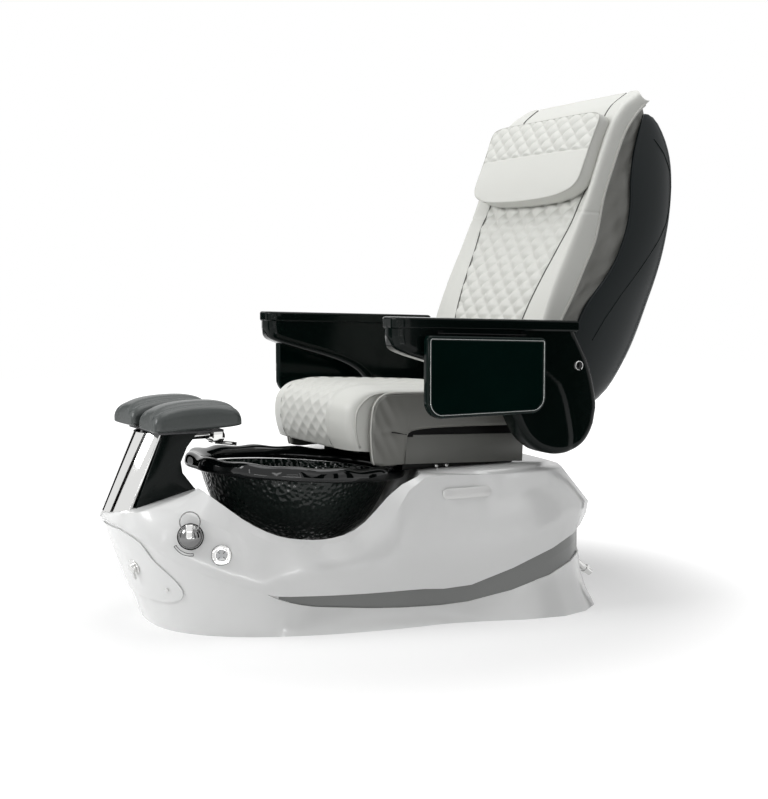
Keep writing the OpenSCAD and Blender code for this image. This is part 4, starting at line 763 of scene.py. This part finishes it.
for side, name in ((1, "left"), (-1, "right")):
    hub = Vector((0, PIVOT_Y, PIVOT_Z))
    made_piece("pivot_cap_" + name, turned(PIVOT_CAP, hub, side), 40, "seat", PIVOT_BLACK,
               ("arm_pins",) if side == 1 else ())
    made_piece("pivot_ring_" + name, turned(PIVOT_RING, hub, side), 40, "seat",
               FINISH["chrome"])
print("pivots at", PIVOT_Y, PIVOT_Z)

# %% [markdown]
# The flip trays hang at the arms' sides. Each is a rounded slab with a glossy inset panel. A thin
# bright metal tube round the inset is a painted highlight, standing for the light that the inset's
# bevelled rim catches. The upper edge drops to the rear with the hinge's axis, so the tray clears
# the arm when it swings up.

# %% Trays
TRAY_IN, TRAY_T, TRAY_Y0, TRAY_Y1, TRAY_LOW, TRAY_HIGH = 436, 26, -76, 288, 545, 755.5
TRAY_R, TRAY_R_TOP, TRAY_RIM, HINGE_SLOPE, INSET_DEEP = 44, 14, 9, 0.035, 2.2

def tray_edge(y, r, inset=0):
    """How far a corner of radius r lifts the tray's edge at y."""
    s = min(y - TRAY_Y0 - inset, TRAY_Y1 - inset - y, r - inset)
    k = r - inset
    return k - math.sqrt(max(0, k * k - (k - max(s, 0)) ** 2)) + inset

def tray_low(y, inset=0):
    return TRAY_LOW + tray_edge(y, TRAY_R, inset)

def tray_high(y, inset=0):
    return TRAY_HIGH - HINGE_SLOPE * (y - TRAY_Y0) - tray_edge(y, TRAY_R_TOP, inset)

def tray_ring(inset):
    ys = [mix(TRAY_Y0 + inset, TRAY_Y1 - inset, 0.5 - 0.5 * math.cos(math.pi * n / 90)) for n in range(91)]
    return [(y, tray_low(y, inset)) for y in ys] + [(y, tray_high(y, inset)) for y in reversed(ys)]

tray_away = edge_distance(tray_ring(0)[::2] + [tray_ring(0)[0]])

def tray_panel(y, z):
    return -INSET_DEEP * ease(TRAY_RIM, TRAY_RIM + 2.5, tray_away(y, z))

for side, name in ((1, "left"), (-1, "right")):
    place = lambda y, z, t: Vector((side * (TRAY_IN + TRAY_T / 2 + t), y, z)) * MM
    bm = moulded((TRAY_Y0, TRAY_Y1), tray_low, tray_high, tray_away, lambda y: TRAY_T / 2, lambda y: 9, place,
                 110, 90, tray_panel)
    made_piece("tray_body_" + name, bm, 50, "tray_" + name, TRAY_GLASS, ("tray_" + name,))
    # Painted highlight: this bright tube along the inset's rim stands for the light on its bevel.
    bead = [place(y, z, TRAY_T / 2 - 0.8) for y, z in tray_ring(TRAY_RIM - 0.5)]
    tube("tray_highlight_bead_" + name, [bead], 0.0011, "tray_" + name, BEAD_PAINTED_HIGHLIGHT, closed=True)
    paint_with(NODES["tray_hinge_" + name].data, PIVOT_BLACK)
print("trays", TRAY_Y0, TRAY_Y1)

# %% [markdown]
# The back cushion is one quilted middle between two plain wings that turn back at their edges.
# The wings start above a hollow for the shoulders, so the surface steps in behind the pillow.

# %% Back cushion
BACK_W, BACK_LOW, BACK_HIGH, BACK_T = 590, 612, 1420, 58
FACE = [[612, 352], [700, 368], [800, 392], [985, 452], [1150, 505], [1300, 562], [1380, 612], [1420, 668]]
SEAM = [[600, 395], [690, 418], [779, 449], [863, 500], [950, 545], [1032, 584], [1145, 607],
        [1240, 640], [1345, 684], [1424, 737], [1450, 760]]
RECESS = [[612, 14], [800, 20], [900, 32], [990, 48], [1060, 60], [1134, 72], [1250, 70], [1346, 54],
          [1420, 40]]
TURN = [[0, 0], [0.6, 0], [0.7, 0.01], [0.8, 0.08], [0.9, 0.36], [1, 0.9]]
QUILT = [[612, 150], [780, 178], [990, 218], [1060, 233], [1110, 232], [1200, 244], [1300, 230], [1360, 214],
         [1420, 218]]
RIDGE = [[612, 0.6], [900, 0.6], [1000, 0.5], [1100, 0.42], [1420, 0.4]]
BACK_LENGTH = [[z, 0.0] for z in range(612, 1421, 8)]
for n in range(1, len(BACK_LENGTH)):
    z0, z1 = BACK_LENGTH[n - 1][0], BACK_LENGTH[n][0]
    BACK_LENGTH[n][1] = BACK_LENGTH[n - 1][1] + math.hypot(z1 - z0, curve(FACE, z1) - curve(FACE, z0))

def back_front(u, v):
    w, side = abs(2 * u - 1), (1 if u > 0.5 else -1)
    z = mix(BACK_LOW, BACK_HIGH, v)
    turn = curve(TURN, w)
    hollow = 1 - curve(RIDGE, z) * ease(0.6, 0.92, w)
    over = v ** 9
    x = side * BACK_W / 2 * math.sin(math.pi / 2 * w) ** 0.95
    y = mix(curve(FACE, z) + curve(RECESS, z) * hollow, curve(SEAM, z + 22), turn) + over * (34 - 40 * turn)
    return Vector((x, y, z + over * (18 - 46 * w ** 6))) * MM

def back_rear(u, v):
    w, side = abs(2 * u - 1), (1 if u > 0.5 else -1)
    z = mix(BACK_LOW, BACK_HIGH, v)
    rear = mix(curve(FACE, z) + max(BACK_T - 6, curve(RECESS, z) + 22), curve(SEAM, z + 22) + 2, w ** 4.5)
    over = v ** 9
    x = side * BACK_W / 2 * math.sin(math.pi / 2 * w) ** 0.95 * 0.985
    front = back_front(u, v).y / MM - over * (34 - 40 * curve(TURN, w))
    return Vector((x, max(front + 8, rear) + over * 10, z + 26 - over * 40)) * MM

def back_lift(u, v, p):
    z, x = mix(BACK_LOW, BACK_HIGH, v), abs(p.x) / MM
    q, edge = curve(QUILT, z), BACK_W / 2
    near_seam = min(abs(x - q) / 9, 1)
    h = groove(x - q, 4.0, 3.2)
    if x < q and z < 1290:
        h += diamonds(p.x / MM + 33, curve(BACK_LENGTH, z), 67, 54, 11) * near_seam ** 0.6
    elif x >= q:
        k = (x - q) / (edge - q)
        h += 4.5 * math.sin(math.pi * min(max(k, 0), 1)) ** 0.7
        h += groove(z - 1092 + 0.12 * (x - q), 3.5, 2.4)
    return h * MM

bm = padded_slab(170, 236, back_front, back_rear, back_lift)
back = soft_piece("back_cushion_leather", bm, "back", "back_cushion")
print("back cushion faces", len(back.data.polygons))

# %% [markdown]
# Piping follows the sewn lines. The piping of the middle seam is made dark on both sides. That
# dark is painted shade, standing for the shade in the seam's groove. Each line is found on the
# cushion's own surface, so it never floats: the place across is solved from the seam's distance
# off the middle.

# %% Back piping
def across(x):
    return math.asin(min(1, (abs(x) / (BACK_W / 2)) ** (1 / 0.95))) / (math.pi / 2)

def back_line(side, low, high, off, place, count=70):
    pts = []
    for n in range(count + 1):
        z = mix(low, high, n / count)
        w = place(z)
        v = (z - BACK_LOW) / (BACK_HIGH - BACK_LOW)
        pts.append(back_front(0.5 + side * w / 2, v) + Vector((0, -off, 0)) * MM)
    return pts

# The dark colour of this piping is painted shade along the seam's groove.
tube("back_seam_piping", [back_line(s, 616, 1418, -0.4, lambda z: across(curve(QUILT, z)))
                          for s in (1, -1)], 0.0016, "back", SEAM_PIPING_SHADE)
tube("back_edge_piping", [back_line(s, 616, 1419, 0.2, lambda z: 0.997) for s in (1, -1)],
     0.0042, "back", PIPING_PALE)
print("back piping done")

# %% [markdown]
# A moulding line runs down each side of the shell. It is found by looking in from the side at the
# shell's own surface, so the fine bead lies on it all the way.

# %% Shell moulding line
SHELL_LINE = [[800, 1302], [838, 1262], [866, 1214], [876, 1168], [868, 1120], [848, 1064], [812, 1012],
              [740, 930], [668, 852], [610, 782], [570, 724]]
shell_bm = bmesh.new()
shell_bm.from_mesh(NODES["back_shell"].data)
shell_tree = BVHTree.FromBMesh(shell_bm)
for side, name in ((1, "left"), (-1, "right")):
    line = []
    for n in range(121):
        k = n / 120 * (len(SHELL_LINE) - 1)
        i = min(int(k), len(SHELL_LINE) - 2)
        share = ease(0, 1, k - i) * 0.3 + (k - i) * 0.7
        y, z = [mix(SHELL_LINE[i][c], SHELL_LINE[i + 1][c], share) for c in (0, 1)]
        hit = shell_tree.ray_cast(Vector((side, y * MM, z * MM)), Vector((-side, 0, 0)))[0]
        if hit:
            line.append(hit)
    if len(line) > 2:
        tube("shell_line_" + name, [line], 0.0011, "back", TRAY_GLASS)
shell_bm.free()
print("shell line")

# %% [markdown]
# The gussets are loose cloth between the cushion's edge and the shell. They hang in long slanting
# folds, which a few waves of different length across the sheet give.

# %% Gussets
SHELL_FRONT = [[505, 500], [600, 470], [700, 488], [811, 524], [930, 628], [1074, 688], [1200, 698],
               [1300, 730], [1375, 776]]

def gusset_place(side):
    def at(u, v, deep=0.0):
        z = mix(628, 1392, v)
        rim = curve(SEAM, z + 4)
        end = max(curve(SHELL_FRONT, min(z, 1370)) + 12, rim + 22)
        y = mix(rim - 2, end, u)
        narrow = 1 - 0.16 * ((z - 505) / 870) ** 6
        bulge = math.sin(math.pi * u)
        fold = (4.6 * math.sin(z / 27 + 4 * u) + 3.2 * math.sin(z / 13.5 - 5 * u + 1)
                + 2.4 * math.sin(z / 47 + 9 * u)) * bulge ** 0.6
        x = mix(292, 293 * narrow, u) - 5 - 7 * bulge + fold - deep
        return Vector((side * x, y, z)) * MM
    return at

for side, name in ((1, "left"), (-1, "right")):
    at = gusset_place(side)
    bm = padded_slab(26, 190, lambda u, v: at(u, v), lambda u, v: at(u, v, 2.2))
    o = made_piece("gusset_cloth_" + name, bm, 70, "back", FINISH["gusset_grey"],
                   ("back_gussets",) if side == 1 else ())
print("gussets done")

# %% [markdown]
# The head pillow is a flat-faced box pillow: a quilted half above a sewn line, a plain half below
# it that sags a little, and a band of leather round its edge with piping on both rims.

# %% Head pillow
PILLOW_W, PILLOW_H, PILLOW_T, PILLOW_Z, PILLOW_LEAN = 552, 244, 56, 1243, 20
PILLOW_Y = curve(FACE, PILLOW_Z) + curve(RECESS, PILLOW_Z) - 4

def pillow_frame(x, depth, up):
    a = math.radians(PILLOW_LEAN)
    y, z = -depth - 3, up
    return Vector((x, PILLOW_Y + y * math.cos(a) + z * math.sin(a),
                   PILLOW_Z - y * math.sin(a) + z * math.cos(a))) * MM

def rounded(a, b, power):
    """A square ring drawn in to a rounded one: the place on it and how far out it is."""
    r = max(abs(a), abs(b))
    if r < 1e-6:
        return 0.0, 0.0, 0.0
    k = r / (abs(a) ** power + abs(b) ** power) ** (1 / power)
    return a * k, b * k, r

FACE_SHARE, SQUARE_TOP, ROUND_FOOT, DROOP = 0.88, 10, 5.6, 16

def pillow_round(u, v):
    return rounded(2 * u - 1, 2 * v - 1, SQUARE_TOP if v > 0.5 else ROUND_FOOT)

def pillow_at(u, v):
    a, b, r = pillow_round(u, v)
    inner = min(r / FACE_SHARE, 1)
    s = inner / r if r else 0
    x, z = a * s, b * s
    out = max(0, (r - FACE_SHARE) / (1 - FACE_SHARE))
    droop = (-DROOP * (1 - x * x) if z < 0 else 0) * abs(z) ** 1.6
    side = 1 - 0.035 * (1 - z * z)
    crown = 13 * (1 - inner ** 2.6)
    depth = PILLOW_T * 0.80 * (0.93 - 0.09 * z)
    face = depth + crown * 0.55
    swell = 3.0 * math.sin(math.pi * out)
    d = mix(face, 1.5, out)
    return pillow_frame(x * PILLOW_W / 2 * side * (1 + swell / 260), d,
                        z * PILLOW_H / 2 + droop - (swell if z < 0 else -swell) * abs(z) ** 3 * 0.6)

def pillow_back(u, v):
    a, b, _ = pillow_round(u, v)
    droop = (-DROOP * (1 - a * a) if b < 0 else 0) * abs(b) ** 1.6
    return pillow_frame(a * (PILLOW_W / 2 - 3), 0, b * (PILLOW_H / 2 - 3) + droop)

def pillow_lift(u, v, p):
    a, b, r = pillow_round(u, v)
    inner = min(r / FACE_SHARE, 1)
    s = inner / r if r else 0
    x, z = a * s * PILLOW_W / 2, b * s * PILLOW_H / 2
    out = max(0, (r - FACE_SHARE) / (1 - FACE_SHARE))
    if out > 0:
        return -0.6 * MM * (1 if out < 0.06 else 0)
    h = groove(z - 8, 3.2, 2.6)
    if z > 8:
        rim = min((1 - inner) / 0.05, 1)
        h += diamonds(x, z - 8, 62, 50, 9) * max(rim, 0) ** 0.5 * min((z - 8) / 7, 1) ** 0.6
    else:
        h += 1.5 * math.sin(math.pi * min((8 - z) / 120, 1))
    return h * MM

bm = padded_slab(176, 124, pillow_at, pillow_back, pillow_lift)
soft_piece("head_pillow_leather", bm, "head_pillow", "head_pillow")

def pillow_ring(r, off, count=240):
    pts = []
    for n in range(count):
        k = n / count * 8
        a, b = ((1, k - 1) if k < 2 else (3 - k, 1) if k < 4 else (-1, 5 - k) if k < 6 else (k - 7, -1))
        pts.append(pillow_at(0.5 + a * r / 2, 0.5 + b * r / 2) + Vector((0, -off * MM, 0)))
    return pts

tube("pillow_piping", [pillow_ring(FACE_SHARE + 0.004, 0.2), pillow_ring(0.992, 0.0)], 0.0022, "head_pillow",
     PIPING_PALE, closed=True)
print("pillow done")

# %% [markdown]
# The seat cushion runs forward along the top and rolls down over its front edge. Its middle is
# quilted like the back, with one piping on each side made dark as painted shade along the seam,
# and the quilting fades where people sit.

# %% Seat cushion
SEAT_Z, SEAT_TILT, SEAT_HALF = 404, math.radians(2.3), 532 / 2 - 22.3
SEAT_OUT = [[0, 318, 196], [0.2, 240, 202], [0.42, 110, 205], [0.6, -30, 206], [0.7, -110, 205],
            [0.78, -165, 192], [0.85, -199, 160], [0.92, -207, 116], [0.97, -200, 70], [1, -184, 36]]
SEAT_IN = [[0, 318, 84], [0.2, 240, 84], [0.42, 110, 84], [0.6, -30, 84], [0.7, -80, 84],
           [0.78, -118, 84], [0.85, -150, 82], [0.92, -158, 70], [0.97, -158, 52], [1, -160, 34]]
SEAT_LENGTH = along(SEAT_OUT, 160)
SEAT_SEAM, SEAT_BOW = 146, 38

def seat_frame_point(x, y, z):
    c, s = math.cos(SEAT_TILT), math.sin(SEAT_TILT)
    return Vector((x, y * c + z * s, SEAT_Z - y * s + z * c)) * MM

def seat_at(u, v, top):
    w = 2 * u - 1
    line = SEAT_OUT if top else SEAT_IN
    x = SEAT_HALF * signed_pow(math.sin(math.pi / 2 * w), 0.95)
    p = Vector((curve(line, v, 1), curve(line, v, 2)))
    m = Vector((curve(SEAT_IN, v, 1), curve(SEAT_IN, v, 2)))
    if top:
        p = p + (m - p) * 0.2 * abs(w) ** 5
    bow = SEAT_BOW * abs(w) ** 3.6 * ease(0.62, 0.84, v)
    return seat_frame_point(x * (1 - 0.012 * math.sin(math.pi * v)), p[0] + bow, p[1])

def seat_lift(u, v, p):
    x, b = p.x / MM, curve(SEAT_LENGTH, v)
    ends = min(min(v, 1 - v) / 0.03, 1)
    h = groove(abs(x) - SEAT_SEAM, 4.0, 2.6) * ends
    if abs(x) < SEAT_SEAM:
        puff = mix(3.2, 4.8, ease(0.6, 0.75, v))
        h += diamonds(x, b, 56, 46, puff) * min((SEAT_SEAM - abs(x)) / 9, 1) ** 0.6 * ends
    else:
        k = (abs(x) - SEAT_SEAM) / (SEAT_HALF - SEAT_SEAM)
        h += 4.0 * math.sin(math.pi * min(k, 1)) ** 0.7 * ends
    return h * MM

bm = padded_slab(150, 220, lambda u, v: seat_at(u, v, True), lambda u, v: seat_at(u, v, False), seat_lift)
soft_piece("seat_cushion_leather", bm, "seat", "seat_cushion")

def seat_line(x_at, off, low=0.004, high=0.992, count=110):
    w = math.asin((abs(x_at) / SEAT_HALF) ** (1 / 0.95)) / (math.pi / 2) * math.copysign(1, x_at)
    return [seat_at(0.5 + w / 2, mix(low, high, n / count), True) + Vector((0, 0, off * MM))
            for n in range(count + 1)]

# The dark colour of this piping is painted shade along the seam's groove.
tube("seat_seam_piping", [seat_line(s * SEAT_SEAM, 0.0) for s in (1, -1)], 0.0016, "seat",
     SEAM_PIPING_SHADE)
tube("seat_edge_piping", [seat_line(s * (SEAT_HALF - 0.8), 0.5) for s in (1, -1)], 0.0030, "seat",
     PIPING_PALE)
print("seat done")

# %% [markdown]
# The grey sides of the seat are padded panels. Each starts from its CAD outline with a wide soft
# edge, and gets shallow creases at the front corner, where the leather is pulled round. A black
# slab behind the slot and a black line along its top are painted shade, standing for the dark
# gap between panel and skirt.

# %% Seat side panels
PANEL_IN, PANEL_OUT = 243, 267
PANEL_Y0, PANEL_Y1 = -133, 338
PANEL_HIGH = [[-133, 96], [-130, 140], [-122, 164], [-104, 182], [-80, 190], [0, 192], [120, 193],
              [300, 187], [338, 178]]
PANEL_LOW = [[-133, 84], [-128, 34], [-120, 2], [-27, 0]]
PANEL_EDGE = [[-23, 79], [-10, 88], [40, 95], [150, 99], [338, 102]]
SLOT_TIP = -73

def panel_low(y):
    return curve(PANEL_LOW, y) if y < -27 else mix(0, 79, (y + 27) / 4) if y < -23 else curve(PANEL_EDGE, y)

def panel_high(y):
    return curve(PANEL_HIGH, y)

PANEL_YS = [*range(PANEL_Y0, -120, 2), *range(-120, -28, 6), -27, -23, *range(-20, PANEL_Y1 + 1, 12),
            PANEL_Y1]
panel_away = edge_distance([(y, panel_low(y)) for y in PANEL_YS]
                           + [(y, panel_high(y)) for y in reversed(PANEL_YS)]
                           + [(PANEL_Y0, panel_low(PANEL_Y0))])

def panel_folds(y, z):
    """Leather pulled round the front corner: a few short creases that fade to the rear."""
    fade = 1 - ease(-118, -20, y)
    fan = math.sin((z - 20) / 13 + (y + 130) / 17) + 0.6 * math.sin((z + y * 1.7) / 9)
    tip = groove(math.hypot((y - SLOT_TIP) * 0.25, z - 88), 7, 2.5) * (1 if y > SLOT_TIP - 30 else 0)
    return 1.5 * fade * fan + tip + 2.2 * math.sin(math.pi * min(max((z - 90) / 100, 0), 1))

for side, name in ((1, "left"), (-1, "right")):
    node = "seat_panel_" + name
    bm = moulded((PANEL_Y0, PANEL_Y1), panel_low, panel_high, panel_away,
                 lambda y: (PANEL_OUT - PANEL_IN) / 2, lambda y: 9,
                 lambda y, z, t: seat_frame_point(side * ((PANEL_OUT + PANEL_IN) / 2 + t), y, z),
                 150, 60, panel_folds)
    soft_piece(node + "_leather", bm, "seat", node)
    rim = [(y, panel_low(y)) for y in [-120, -124, -128, -131, PANEL_Y0]]
    rim += [(y, panel_high(y)) for y in [PANEL_Y0, -132, -130, -127, -122, -113, -104, -92, -80, -60, -30,
                                         0, 60, 120, 200, 300]]
    rim = [seat_frame_point(side * (PANEL_OUT - 3.5), y - 0.5, z) for y, z in rim]
    tube("panel_piping_" + name, [rim], 0.0024, "seat", PIPING_PALE)
    # Painted shade: a black line along the top of the slot stands for the shade in the gap.
    slot = [seat_frame_point(side * (PANEL_OUT - 1.5), y, z) for y, z in
            [(SLOT_TIP, 87), (-60, 85.5), (-45, 83), (-27, 80)]]
    tube("slot_shade_line_" + name, [slot], 0.0016, "seat", SLOT_PAINTED_SHADE)
# Painted shade: a black slab behind each slot fills the gap between panel and skirt with dark.
for side, name in ((1, "left"), (-1, "right")):
    away = edge_distance([(SLOT_TIP, 70), (PANEL_Y1, 60), (PANEL_Y1, 112), (SLOT_TIP, 100), (SLOT_TIP, 70)])
    bm = moulded((SLOT_TIP + 40, PANEL_Y1), lambda y: 60, lambda y: 112, away, lambda y: 5, lambda y: 1,
                 lambda y, z, t: seat_frame_point(side * (PANEL_OUT - 19 + t), y, z), 12, 6)
    made_piece("slot_shade_filler_" + name, bm, 40, "seat", SLOT_PAINTED_SHADE)
dress("seat_skirt", edge=0.003, segments=3)
print("side panels done")

# %% [markdown]
# The foot pads are firm moulded vinyl: crowned, drawn in at the waist, with two long grooves.

# %% Foot pads
PAD_W, PAD_L, PAD_T = 148, 230, 70
PAD_X, PAD_Y, PAD_Z = 102, -566, 513.2

def pad_point(u, v, up):
    w, l = 2 * u - 1, 2 * v - 1
    edge = lambda k, p: max(0, 1 - abs(2 * k - 1) ** p) ** (1 / p)
    full = edge(u, 2.2) * edge(v, 2.3)
    waist = 1 - 0.09 * math.exp(-(l / 0.45) ** 2) - 0.16 * abs(l) ** 5
    ridge = 6 * math.exp(-((abs(w) - 0.36) / 0.11) ** 2) * (1 - l ** 4)
    sag = 22 * l * l if l < 0 else 16 * l * l
    x = signed_pow(math.sin(math.pi / 2 * w), 0.9) * PAD_W / 2 * waist
    y = PAD_L / 2 * signed_pow(math.sin(math.pi / 2 * l), 0.92)
    low = PAD_T * 0.36 - sag * 0.6
    crowned = low + (PAD_T * 0.42 + 14 * (1 - w * w) + 6) * full - ridge - sag * 0.4 * full
    z = crowned if up else (low - 3) * (1 - full)
    return x, y, z

def pad_at(side, u, v, up):
    x, y, z = pad_point(u, v, up)
    turn = Matrix.Rotation(math.radians(-2 * side), 3, "Z") @ Matrix.Rotation(math.radians(2), 3, "X")
    return (turn @ Vector((x, y, z)) + Vector((side * PAD_X, PAD_Y, PAD_Z))) * MM

for side, name in ((1, "left"), (-1, "right")):
    bm = padded_slab(56, 96, lambda u, v: pad_at(side, u, v, True), lambda u, v: pad_at(side, u, v, False))
    soft_piece("foot_pad_" + name, bm, "footrest", "footrest_pad_" + name)
print("foot pads done")
